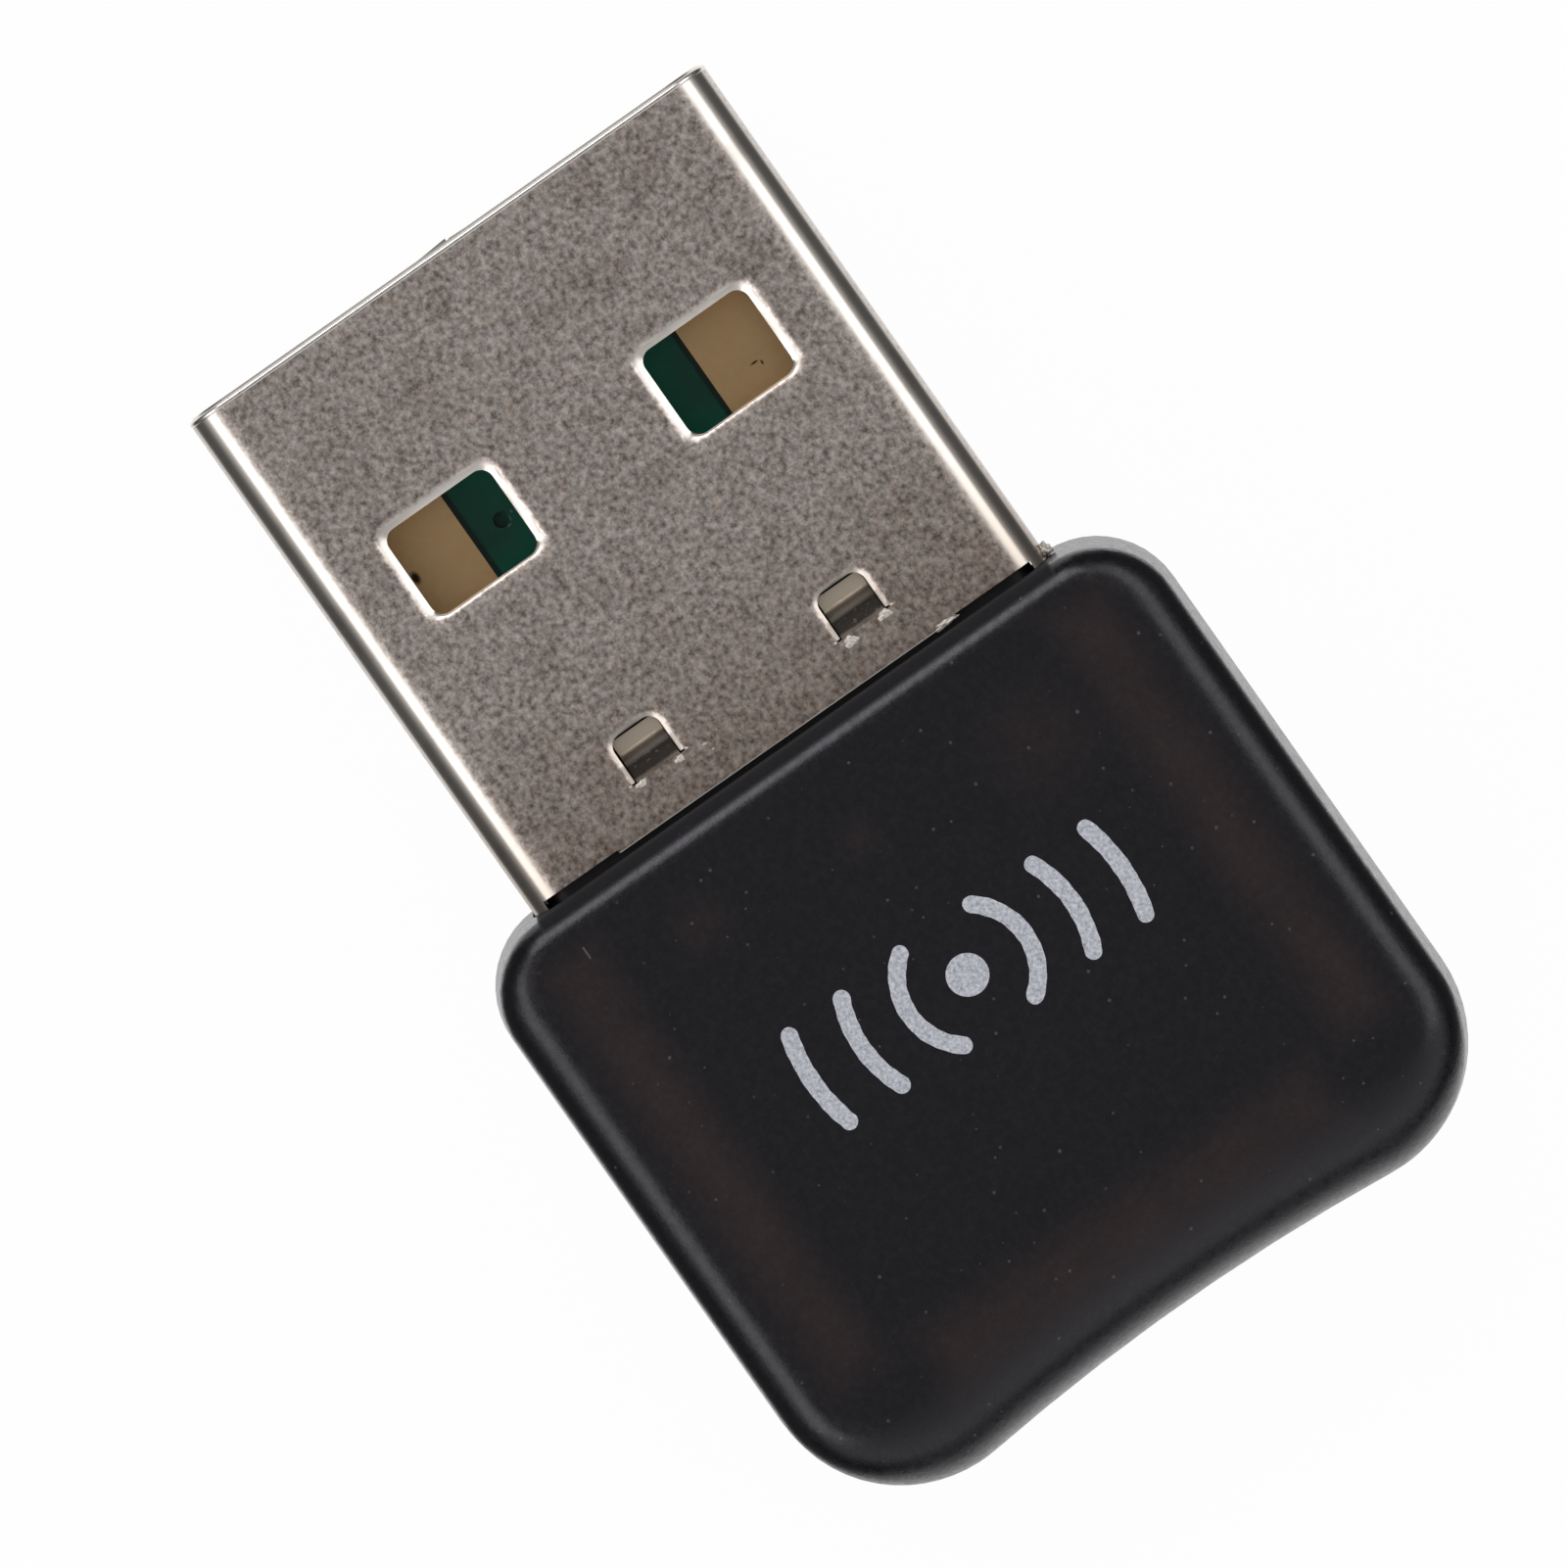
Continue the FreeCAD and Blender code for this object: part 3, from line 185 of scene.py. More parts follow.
# Zone: 1 inside the box between two corners, falling to 0 over the width of its soft edge
def makeZoneGroup():
    tree, given, result = newGroup(
        "zone",
        [("Place", "NodeSocketVector", None), ("Low", "NodeSocketVector", None),
         ("High", "NodeSocketVector", None), ("Edge", "NodeSocketFloat", 0.05 * mm)],
        [("Mask", "NodeSocketFloat")])
    above = vectorMaths(tree, "SUBTRACT", given["Place"], given["Low"])
    below = vectorMaths(tree, "SUBTRACT", given["High"], given["Place"])
    x, y, z = separate(tree, vectorMaths(tree, "MINIMUM", above, below))
    nearest = maths(tree, "MINIMUM", maths(tree, "MINIMUM", x, y), z)
    share = maths(tree, "DIVIDE", nearest, given["Edge"])
    feed(tree, result["Mask"], maths(tree, "ADD", share, 0.5, clamp=True))
    return tree


# Spot: 1 around a centre, falling to 0 at the given half sizes over the outer share named by Softness
def makeSpotGroup():
    tree, given, result = newGroup(
        "spot",
        [("Place", "NodeSocketVector", None), ("Centre", "NodeSocketVector", None),
         ("Half Size", "NodeSocketVector", None), ("Softness", "NodeSocketFloat", 0.9)],
        [("Mask", "NodeSocketFloat")])
    offset = vectorMaths(tree, "SUBTRACT", given["Place"], given["Centre"])
    share = vectorMaths(tree, "DIVIDE", offset, given["Half Size"])
    reach = vectorMaths(tree, "LENGTH", share, (0, 0, 0), "Value")
    start = maths(tree, "SUBTRACT", 1.0, given["Softness"])
    feed(tree, result["Mask"], mapRange(tree, reach, start, 1.0, 1.0, 0.0))
    return tree


grainGroup = makeGrainGroup()
dustGroup = makeDustGroup()
zoneGroup = makeZoneGroup()
spotGroup = makeSpotGroup()


# A group's outputs, with its inputs fed by name
def useGroup(tree, group, **inputs):
    named = {name.replace("_", " "): value for name, value in inputs.items()}
    return addNode(tree, "ShaderNodeGroup", named, node_tree=group).outputs


# The largest of several zones, each given by its low and high corner and its soft edge
def zones(tree, place, boxes):
    mask = None
    for low, high, edge in boxes:
        box = useGroup(tree, zoneGroup, Place=place, Low=low, High=high, Edge=edge)["Mask"]
        mask = box if mask is None else maths(tree, "MAXIMUM", mask, box)
    return mask


# The largest of several spots, each given by its centre and half sizes
def spots(tree, place, marks, softness=0.9):
    mask = None
    for centre, half in marks:
        mark = useGroup(tree, spotGroup, Place=place, Centre=centre, Half_Size=half,
                        Softness=softness)["Mask"]
        mask = mark if mask is None else maths(tree, "MAXIMUM", mask, mark)
    return mask


# An even grain of the given size, and a colour that goes from dark to light with it
def mottle(tree, place, size, dark, light):
    fine = useGroup(tree, grainGroup, Place=place, Size=size, Spread=effectLook["evenSpread"])
    return fine, mixColour(tree, fine["Mask"], dark, light)


# Roughness that rises with a grain's height, from rough - spread to rough + spread
def grainedRough(tree, height, rough, spread):
    return mapRange(tree, height, effectLook["lowHeight"], effectLook["highHeight"],
                    rough - spread, rough + spread)


# A new material with its node tree and its shader
def newMaterial(name):
    material = bpy.data.materials.new(name)
    material.use_nodes = True
    tree = material.node_tree
    return material, tree, tree.nodes["Principled BSDF"]


# The shader's colour, roughness and share of metal, and its relief: a height times the depth
def feedShader(tree, shader, colour, rough, height, depth, metallic=0.0):
    feed(tree, shader.inputs["Base Color"], colour)
    feed(tree, shader.inputs["Roughness"], rough)
    feed(tree, shader.inputs["Metallic"], metallic)
    relief = addNode(tree, "ShaderNodeBump", {"Height": height, "Distance": depth, "Strength": 1.0})
    feed(tree, shader.inputs["Normal"], relief.outputs[0])


# Plated sheet: warm grey nickel, finely speckled where it is flat, smoother on rolls and bends and darker
# near the housing; painted shade on the tabs' rise, painted light on their foot and a painted highlight at
# the rear edge
plateLook = {
    "light": rgb(1.0, 0.88, 0.82), "dark": rgb(0.255, 0.205, 0.182), "roll": rgb(0.80, 0.745, 0.69),
    "warm": rgb(1.0, 0.97, 0.93), "cool": rgb(0.94, 0.98, 1.0),
    "grainSize": 0.13 * mm, "grainSpread": 0.16, "tintSize": 0.22 * mm, "tintSpread": 0.15,
    "cloud": rgb(0.86, 0.84, 0.83), "cloudSize": 1.2 * mm, "cloudOctaves": 3.0, "cloudOctaveShare": 0.6,
    "cloudFrom": 0.50, "cloudTo": 0.70,
    "flatDepth": 0.004 * mm, "rollDepth": 0.06 * mm, "sheenDepth": 0.13 * mm, "bumpDepth": 0.008 * mm,
    "rough": 0.33, "rollRough": 0.22,
    # Darker towards the rear, near the housing
    "rearDarkeningFrom": mouthX - 7.8 * mm, "rearDarkeningTo": mouthX - 11.3 * mm, "rearDarkening": rgb(0.76, 0.72, 0.69),
    # Painted shade on the tabs' rise and painted light on their foot, inside the tab openings
    "tabShade": rgb(0.16, 0.16, 0.16), "tabFootPaintedLight": rgb(0.97, 0.84, 0.69), "tabRough": 0.16,
    "glitterFrom": 0.75, "glitterShade": 0.6,
    "tabInside": [(behindMouth(10.70, 1.80, plugTopZ, -0.9), behindMouth(9.55, 3.00, plugTopZ, -0.12),
                   0.05 * mm)],
    "tabRise": [(behindMouth(10.68, 1.80, plugTopZ, -0.9), behindMouth(10.22, 3.00, plugTopZ, -0.05),
                 0.10 * mm)],
    "tabFoot": [(behindMouth(10.12, 1.80, plugTopZ, -0.9), behindMouth(9.66, 3.00, plugTopZ, -0.35),
                 0.08 * mm)],
    # Painted highlight along the middle of the plate's rear edge, by the housing
    "tongueEdge": [((0.90 * mm, -1.0 * mm, plugTopZ - 0.15 * mm),
                    (1.085 * mm, 3.93 * mm, plugTopZ + 0.1 * mm), 0.02 * mm)],
    "rearEdgePaintedHighlight": rgb(1.0, 0.95, 0.90),
}


# Depth is the distance to the nearest of the sheet's top, bottom and side planes: it keeps the grain to the
# flats and polishes the rolls; the colours are laid over each other in the order of the lines
def makePlate():
    look = plateLook
    material, tree, shader = newMaterial("nickelPlate")
    place = objectPlace(tree)
    mirrored = mirroredPlace(tree, place)
    x, y, z = separate(tree, mirrored)
    depth = maths(tree, "MINIMUM", maths(tree, "SUBTRACT", plugTopZ, z),
                  maths(tree, "SUBTRACT", z, plugBottomZ))
    depth = maths(tree, "MINIMUM", depth, maths(tree, "SUBTRACT", shellHigh.y, y))
    flat = mapRange(tree, depth, look["rollDepth"], look["flatDepth"], 0.0, 1.0)
    fine = useGroup(tree, grainGroup, Place=place, Size=look["grainSize"], Spread=look["grainSpread"])
    colour = mixColour(tree, fine["Mask"], look["dark"], look["light"])
    tint = useGroup(tree, grainGroup, Place=place, Size=look["tintSize"], Spread=look["tintSpread"])
    colour = mixColour(tree, 1.0, colour, mixColour(tree, tint["Mask"], look["warm"], look["cool"]),
                       "MULTIPLY")
    colour = mixColour(tree, flat, look["roll"], colour)
    clouds = addNode(tree, "ShaderNodeTexNoise", {
        "Vector": place, "Scale": 1 / look["cloudSize"], "Detail": look["cloudOctaves"],
        "Roughness": look["cloudOctaveShare"]})
    dull = mapRange(tree, clouds.outputs[0], look["cloudFrom"], look["cloudTo"], 0.0, 1.0)
    colour = mixColour(tree, dull, colour, look["cloud"], "MULTIPLY")
    # Darker towards the rear, near the housing
    rearDarkening = mapRange(tree, x, look["rearDarkeningFrom"], look["rearDarkeningTo"], 0.0, 1.0, smooth=False)
    colour = mixColour(tree, rearDarkening, colour, look["rearDarkening"], "MULTIPLY")
    # Painted light on each tab's foot, then painted shade on its steep rise, lifted at the grain's lightest
    # specks
    colour = mixColour(tree, zones(tree, mirrored, look["tabFoot"]), colour, look["tabFootPaintedLight"])
    rise = maths(tree, "MULTIPLY", zones(tree, mirrored, look["tabRise"]),
                 mapRange(tree, fine["Mask"], look["glitterFrom"], 1.0, 1.0, look["glitterShade"]))
    colour = mixColour(tree, rise, colour, look["tabShade"], "MULTIPLY")
    # Painted highlight on the plate's rear edge
    colour = mixColour(tree, zones(tree, mirrored, look["tongueEdge"]), colour, look["rearEdgePaintedHighlight"])
    sheen = mapRange(tree, depth, look["sheenDepth"], 0.0, look["rollRough"], look["rough"])
    inside = zones(tree, mirrored, look["tabInside"])
    rough = maths(tree, "MULTIPLY_ADD", inside, look["tabRough"], sheen)
    raised = maths(tree, "MULTIPLY", maths(tree, "SUBTRACT", fine["Height"], 0.5), flat)
    feedShader(tree, shader, colour, rough, raised, look["bumpDepth"], 1.0)
    return material


# Housing: gloss black, a little see-through, with the brown light that comes through it painted where the
# wall stands clear of the inside; the side walls get painted light, a little greyer, and the front wall above
# the plug is matt
housingLook = {
    # glow is painted light through the plastic, wall is painted light on the lower walls
    "black": rgb(0.0050, 0.0050, 0.0068), "glow": rgb(0.0225, 0.0145, 0.0135),
    "dust": rgb(0.15, 0.15, 0.16), "scuff": rgb(0.12, 0.12, 0.13), "wall": rgb(0.038, 0.036, 0.042),
    "tint": rgb(0.97, 0.93, 1.0), "ior": 1.5,
    "rough": 0.27, "roughSpread": 0.07, "frontRough": 0.72,
    "skinSize": 0.15 * mm, "skinSpread": 0.25, "skinDepth": 0.0080 * mm,
    "dustSpacing": 0.30 * mm, "dustShare": 0.50, "dustRadius": 0.125, "dustLevel": 0.6,
    "smokeSize": 1.3 * mm, "smokeSpread": 0.25, "smokeGain": 0.7, "smokeBase": 0.45, "spotLevel": 0.55,
    # Painted glow: brown light through the wall, in bands along the sides and end and in spots on the top
    "glowBands": [
        ((housingEndX + 2.9 * mm, 5.35 * mm, 5.9 * mm), (0.0, 6.45 * mm, 7.6 * mm), 0.8 * mm),
        ((housingEndX + 1.6 * mm, -1.0 * mm, 5.9 * mm), (housingEndX + 2.8 * mm, 4.5 * mm, 7.6 * mm),
         0.9 * mm)],
    "glowSpots": [
        ((-1.7 * mm, -3.9 * mm, housingTopZ), inMm(1.6, 1.6, 2.0)),
        ((-1.3 * mm, 0.0, housingTopZ), inMm(0.6, 0.6, 2.0)),
        ((-0.9 * mm, 3.4 * mm, housingTopZ), inMm(0.9, 0.9, 2.0))],
    "frontWall": [(inMm(0.69, -1.0, 5.2), inMm(1.20, 5.95, 6.90), 0.07 * mm)],
    "scratch": [(inMm(-0.22, 5.51, 6.0), inMm(0.03, 5.53, 7.5), 0.03 * mm)],
    # Painted light on the lower walls and the front corners, a little greyer than the black
    "walls": [(inMm(-20, -1.0, -1.0), inMm(0.6, 9.0, 5.8), 0.4 * mm),
              (inMm(0.2, 6.1, -1.0), inMm(2.0, 9.0, 5.8), 0.3 * mm)],
}


# Painted glow, the light through the plastic, is the larger of bands and spots times an uneven smoke; the
# walls' painted light, scratch and dust are laid over it
def makeHousing():
    look = housingLook
    material, tree, shader = newMaterial("smokedPlastic")
    place = objectPlace(tree)
    mirrored = mirroredPlace(tree, place)
    skin = useGroup(tree, grainGroup, Place=place, Size=look["skinSize"], Spread=look["skinSpread"])
    specks = useGroup(tree, dustGroup, Place=place, Spacing=look["dustSpacing"],
                      Share=look["dustShare"], Radius=look["dustRadius"])
    smoke = useGroup(tree, grainGroup, Place=place, Size=look["smokeSize"], Spread=look["smokeSpread"])
    # Painted glow of light through the plastic, made uneven by the smoke
    uneven = maths(tree, "MULTIPLY_ADD", smoke["Mask"], look["smokeGain"], look["smokeBase"])
    patches = maths(tree, "MULTIPLY", spots(tree, place, look["glowSpots"]), look["spotLevel"])
    clear = maths(tree, "MAXIMUM", zones(tree, mirrored, look["glowBands"]), patches)
    glow = maths(tree, "MULTIPLY", clear, uneven, clamp=True)
    colour = mixColour(tree, glow, look["black"], look["glow"])
    # Painted light on the lower walls
    colour = mixColour(tree, zones(tree, mirrored, look["walls"]), colour, look["wall"])
    colour = mixColour(tree, zones(tree, place, look["scratch"]), colour, look["scuff"])
    colour = mixColour(tree, maths(tree, "MULTIPLY", specks["Mask"], look["dustLevel"]), colour, look["dust"])
    rough = grainedRough(tree, skin["Height"], look["rough"], look["roughSpread"])
    rough = maths(tree, "MULTIPLY_ADD", zones(tree, mirrored, look["frontWall"]), look["frontRough"], rough)
    shader.inputs["IOR"].default_value = look["ior"]
    shader.inputs["Specular Tint"].default_value = look["tint"]
    feedShader(tree, shader, colour, rough, skin["Height"], look["skinDepth"])
    return material


# Board: satin green mask on the faces, bare glass fibre on the cut edges, a dimple with glints at one filled
# hole, and shaded strips beside the outer pads, from each pad's inner edge
boardLook = {
    "light": rgb(0.002, 0.165, 0.105), "dark": rgb(0.001, 0.130, 0.083), "fibre": rgb(0.34, 0.31, 0.19),
    "rough": 0.30, "ior": 1.45, "grainSize": 0.35 * mm, "bumpDepth": 0.0015 * mm,
    "edge": 0.015 * mm, "beyond": 1.0 * mm,
    "hole": [(behindMouth(5.00, 2.20, boardHigh.z), inMm(0.20, 0.20, 0.5))],
    "holeShade": rgb(0.002, 0.115, 0.075), "glint": rgb(0.26, 0.44, 0.38), "glintLevel": 0.7,
    "glints": [(behindMouth(5.05, 2.05, boardHigh.z), inMm(0.10, 0.04, 0.5)),
               (behindMouth(5.17, 2.14, boardHigh.z), inMm(0.04, 0.08, 0.5)),
               (behindMouth(4.97, 1.95, boardHigh.z), inMm(0.05, 0.04, 0.5))],
    "shade": rgb(0.25, 0.25, 0.25),
    "shadows": [
        ((powerLow.x, powerLow.y - 0.12 * mm, 0.0),
         (powerHigh.x, powerLow.y + 0.01 * mm, 10 * mm), 0.05 * mm),
        ((powerLow.x, groundHigh.y - 0.01 * mm, 0.0),
         (powerHigh.x, groundHigh.y + 0.12 * mm, 10 * mm), 0.05 * mm)],
}


# Mottled green, darkened in the shadows and the hole, lit by the glints, and fibre outside the inset faces
def makeBoard():
    look = boardLook
    material, tree, shader = newMaterial("solderMask")
    place = objectPlace(tree)
    fine, colour = mottle(tree, place, look["grainSize"], look["dark"], look["light"])
    colour = mixColour(tree, zones(tree, place, look["shadows"]), colour, look["shade"], "MULTIPLY")
    colour = mixColour(tree, spots(tree, place, look["hole"]), colour, look["holeShade"])
    glints = maths(tree, "MULTIPLY", spots(tree, place, look["glints"]), look["glintLevel"])
    colour = mixColour(tree, glints, colour, look["glint"])
    edge, beyond = look["edge"], look["beyond"]
    faces = zones(tree, place, [((boardLow.x + edge, boardLow.y + edge, boardLow.z - beyond),
                                 (boardHigh.x - edge, boardHigh.y - edge, boardHigh.z + beyond), edge)])
    colour = mixColour(tree, faces, look["fibre"], colour)
    shader.inputs["IOR"].default_value = look["ior"]
    feedShader(tree, shader, colour, look["rough"], fine["Height"], look["bumpDepth"])
    return material


# Gold: warm flash plating, with small dark scrapes where the windows show the outer pads
goldLook = {
    "light": rgb(1.0, 0.71, 0.385), "dark": rgb(0.98, 0.62, 0.31), "scrape": rgb(0.05, 0.035, 0.02),
    "rough": 0.40, "grainSize": 0.22 * mm, "bumpDepth": 0.003 * mm, "scrapeSoftness": 0.7,
    "scrapes": [(behindMouth(4.97, 4.20, boardHigh.z), inMm(0.19, 0.12, 1.0)),
                (behindMouth(5.32, -3.53, boardHigh.z), inMm(0.03, 0.12, 1.0)),
                (behindMouth(5.40, -3.66, boardHigh.z), inMm(0.07, 0.03, 1.0))],
}


# Mottled gold with the scrapes' dark colour laid over it
def makeGold():
    look = goldLook
    material, tree, shader = newMaterial("flashGold")
    place = objectPlace(tree)
    fine, colour = mottle(tree, place, look["grainSize"], look["dark"], look["light"])
    scrapes = spots(tree, place, look["scrapes"], look["scrapeSoftness"])
    colour = mixColour(tree, scrapes, colour, look["scrape"])
    feedShader(tree, shader, colour, look["rough"], fine["Height"], look["bumpDepth"], 1.0)
    return material


# Chips: a body with tinned caps at both ends; each row has the axis it lies along, and its chips' length,
# pitch and cap in mm
chipLook = {
    "tin": rgb(0.74, 0.74, 0.75), "grainSize": 0.12 * mm, "bumpDepth": 0.002 * mm, "rough": 0.42,
    "clearance": 0.01 * mm,
    "ceramic": (rgb(0.45, 0.32, 0.20), rgb(0.36, 0.25, 0.15)),
    "coated": (rgb(0.035, 0.035, 0.038), rgb(0.020, 0.020, 0.022)),
    "ferrite": (rgb(0.075, 0.075, 0.080), rgb(0.050, 0.050, 0.054)),
}
chipRows = {
    "supply_capacitors": {"body": "ceramic", "axis": 1, "length": 1.0, "pitch": 1.25, "cap": 0.22},
    "crystal_capacitors": {"body": "ceramic", "axis": 0, "length": 1.0, "pitch": 1.9, "cap": 0.22},
    "matching_parts": {"body": "ceramic", "axis": 1, "length": 1.0, "pitch": 1.8, "cap": 0.22},
    "series_resistors": {"body": "coated", "axis": 1, "length": 1.0, "pitch": 1.25, "cap": 0.22},
    "supply_inductor": {"body": "ferrite", "axis": 0, "length": 2.0, "pitch": 4.0, "cap": 0.35},
}


# Place along a chip is the place along its row, from the row's first end, modulo the pitch; tin shows where
# it is further from the chip's middle than half its length less the cap
def makeChips(nodeName):
    look, row = chipLook, chipRows[nodeName]
    light, dark = look[row["body"]]
    length, pitch, capLength = inMm(row["length"], row["pitch"], row["cap"])
    material, tree, shader = newMaterial(nodeName + "Finish")
    place = objectPlace(tree)
    fine, body = mottle(tree, place, look["grainSize"], dark, light)
    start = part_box(nodeName)[0][row["axis"]] - look["clearance"]
    along = maths(tree, "SUBTRACT", separate(tree, place)[row["axis"]], start)
    local = maths(tree, "MODULO", along, pitch)
    fromMiddle = maths(tree, "ABSOLUTE", maths(tree, "SUBTRACT", local, length / 2))
    cap = maths(tree, "GREATER_THAN", fromMiddle, length / 2 - capLength)
    colour = mixColour(tree, cap, body, look["tin"])
    feedShader(tree, shader, colour, look["rough"], fine["Height"], look["bumpDepth"], cap)
    return material


# Crystal: a plated lid above the seam of a dark ceramic base
crystalLook = {"lid": rgb(0.70, 0.67, 0.62), "base": rgb(0.05, 0.045, 0.045), "baseHeight": 0.45 * mm,
               "rough": 0.36, "grainSize": 0.2 * mm, "bumpDepth": 0.003 * mm}


# Lid where the place is higher than the board's top plus the base's height
def makeCrystal():
    look = crystalLook
    material, tree, shader = newMaterial("crystalFinish")
    place = objectPlace(tree)
    fine = useGroup(tree, grainGroup, Place=place, Size=look["grainSize"], Spread=effectLook["evenSpread"])
    lid = maths(tree, "GREATER_THAN", separate(tree, place)[2], boardHigh.z + look["baseHeight"])
    colour = mixColour(tree, lid, look["base"], look["lid"])
    feedShader(tree, shader, colour, look["rough"], fine["Height"], look["bumpDepth"], lid)
    return material


# Ink: silver print, mottled by the plastic's skin, with small gaps where it didn't take
inkLook = {
    "light": rgb(0.70, 0.71, 0.78), "dark": rgb(0.23, 0.24, 0.28), "gap": rgb(0.03, 0.03, 0.034),
    "gapFrom": 0.34, "gapTo": 0.28, "rough": 0.45, "grainSize": 0.07 * mm, "bumpDepth": 0.003 * mm,
}


# Mottled silver, and plastic where the grain's height falls below the gaps' start
def makeInk():
    look = inkLook
    material, tree, shader = newMaterial("silverInk")
    fine, colour = mottle(tree, objectPlace(tree), look["grainSize"], look["dark"], look["light"])
    gap = mapRange(tree, fine["Height"], look["gapFrom"], look["gapTo"], 0.0, 1.0)
    colour = mixColour(tree, gap, colour, look["gap"])
    feedShader(tree, shader, colour, look["rough"], fine["Height"], look["bumpDepth"])
    return material


# Plain moulded and coated finishes
coatedLook = {
    "trayPlastic": {"light": rgb(0.020, 0.020, 0.021), "dark": rgb(0.014, 0.014, 0.015), "metallic": 0.0,
                    "rough": 0.5, "grainSize": 0.12 * mm, "bumpDepth": 0.002 * mm},
    "chipMoulding": {"light": rgb(0.034, 0.034, 0.036), "dark": rgb(0.022, 0.022, 0.023), "metallic": 0.0,
                     "rough": 0.6, "grainSize": 0.07 * mm, "bumpDepth": 0.004 * mm},
    "tinSolder": {"light": rgb(0.78, 0.78, 0.79), "dark": rgb(0.66, 0.66, 0.68), "metallic": 1.0,
                  "rough": 0.24, "grainSize": 0.3 * mm, "bumpDepth": 0.006 * mm},
    "burnishedEdge": {"light": rgb(0.90, 0.86, 0.82), "dark": rgb(0.74, 0.69, 0.64), "metallic": 1.0,
                      "rough": 0.24, "grainSize": 0.10 * mm, "bumpDepth": 0.001 * mm},
    "scrapedEdge": {"light": rgb(0.86, 0.81, 0.74), "dark": rgb(0.42, 0.38, 0.33), "metallic": 0.3,
                    "rough": 0.45, "grainSize": 0.06 * mm, "bumpDepth": 0.006 * mm},
}
coatedRoughSpread = 0.06  # for all of them


# Mottled colour, and a roughness that wanders with the same grain
def makeCoated(name):
    look = coatedLook[name]
    material, tree, shader = newMaterial(name)
    fine, colour = mottle(tree, objectPlace(tree), look["grainSize"], look["dark"], look["light"])
    rough = grainedRough(tree, fine["Height"], look["rough"], coatedRoughSpread)
    feedShader(tree, shader, colour, rough, fine["Height"], look["bumpDepth"], look["metallic"])
    return material


plate = makePlate()
housing = makeHousing()
gold = makeGold()
ink = makeInk()
moulding = makeCoated("chipMoulding")
burnish = makeCoated("burnishedEdge")
scraped = makeCoated("scrapedEdge")
finishes = {
    "usb_shell": plate, "housing_top": housing, "housing_bottom": housing, "circuit_board": makeBoard(),
    "contact_carrier": makeCoated("trayPlastic"), "contact_power": gold, "contact_data_minus": gold,
    "contact_data_plus": gold, "contact_ground": gold, "antenna_trace": gold, "radio_chip": moulding,
    "memory_chip": moulding, "crystal_can": makeCrystal(), "shell_solder": makeCoated("tinSolder"),
}
finishes.update({name: makeChips(name) for name in chipRows})
for name, material in finishes.items():
    nodes[name].data.materials.clear()
    nodes[name].data.materials.append(material)
print("materials made:", len(bpy.data.materials))


# Faces of a grid, from the number of each of its points: one for every four neighbours
def gridFaces(index):
    return np.stack([index[:-1, :-1], index[1:, :-1], index[1:, 1:], index[:-1, 1:]], axis=-1).reshape(-1, 4)


# Closed slab: the grid on top, the same grid lowered by the thickness below, and a rim between them
def slab(grid, thickness):
    rows, columns = grid.shape[:2]
    count = rows * columns
    top = grid.reshape(-1, 3)
    index = np.arange(count).reshape(rows, columns)
    quads = gridFaces(index)
    ring = np.concatenate([index[:-1, 0], index[-1, :-1], index[:0:-1, -1], index[0, :0:-1]])
    after = np.roll(ring, -1)
    rim = np.stack([after, ring, ring + count, after + count], axis=-1)
    points = np.concatenate([top, top - [0.0, 0.0, thickness]])
    return points, np.concatenate([quads, quads[:, ::-1] + count, rim])


# One mesh from several, each with its own points and faces
def joined(parts):
    offsets = np.cumsum([0] + [len(part[0]) for part in parts[:-1]])
    faces = np.concatenate([part[1] + offset for part, offset in zip(parts, offsets)])
    return np.concatenate([part[0] for part in parts]), faces.tolist()


# Faces of a sweep: each ring of points is joined to the next one; a closed path's last ring is joined to its
# first, and an open path gets flat ends
def sweepFaces(count, ring, closed):
    index = np.arange(count * ring).reshape(count, ring)
    here, after = (index, np.roll(index, -1, axis=0)) if closed else (index[:-1], index[1:])
    faces = np.stack([here, after, np.roll(after, -1, axis=1), np.roll(here, -1, axis=1)], axis=-1)
    faces = faces.reshape(-1, 4).tolist()
    return faces if closed else faces + [index[0].tolist(), index[-1, ::-1].tolist()]


# A finished piece: faces turned outward, smooth but for edges above the angle, riding on the adapter
def addPiece(name, points, faces, material, angle=40):
    mesh = bpy.data.meshes.new(name)
    mesh.from_pydata(points.tolist(), [], faces)
    shape = bmesh.new()
    shape.from_mesh(mesh)
    bmesh.ops.recalc_face_normals(shape, faces=shape.faces)
    shape.to_mesh(mesh)
    shape.free()
    mesh.polygons.foreach_set("use_smooth", np.ones(len(mesh.polygons), dtype=bool))
    mesh.set_sharp_from_angle(angle=math.radians(angle))
    mesh.materials.append(material)
    piece = bpy.data.objects.new(name, mesh)
    bpy.context.scene.collection.objects.link(piece)
    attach(piece, "root")
    print("piece:", name, len(mesh.polygons), "faces")


# Printed mark: a dot with three arcs on each side, their edges a little uneven, as thin ink on the top face
printLook = {
    "centre": (-4.62 * mm, -0.20 * mm), "dotRadius": 0.42 * mm, "dotSide": 17, "width": 0.34 * mm,
    "halfHeight": 1.16 * mm, "radii": (1.35 * mm, 2.45 * mm, 3.60 * mm), "thickness": 0.012 * mm,
    "sink": 0.004 * mm, "rows": 90, "columns": 7, "narrowest": 0.02,
    "unevenness": 0.05, "longRipple": 0.11 * mm, "shortRipple": 0.047 * mm, "rippleTurn": 9000,
}


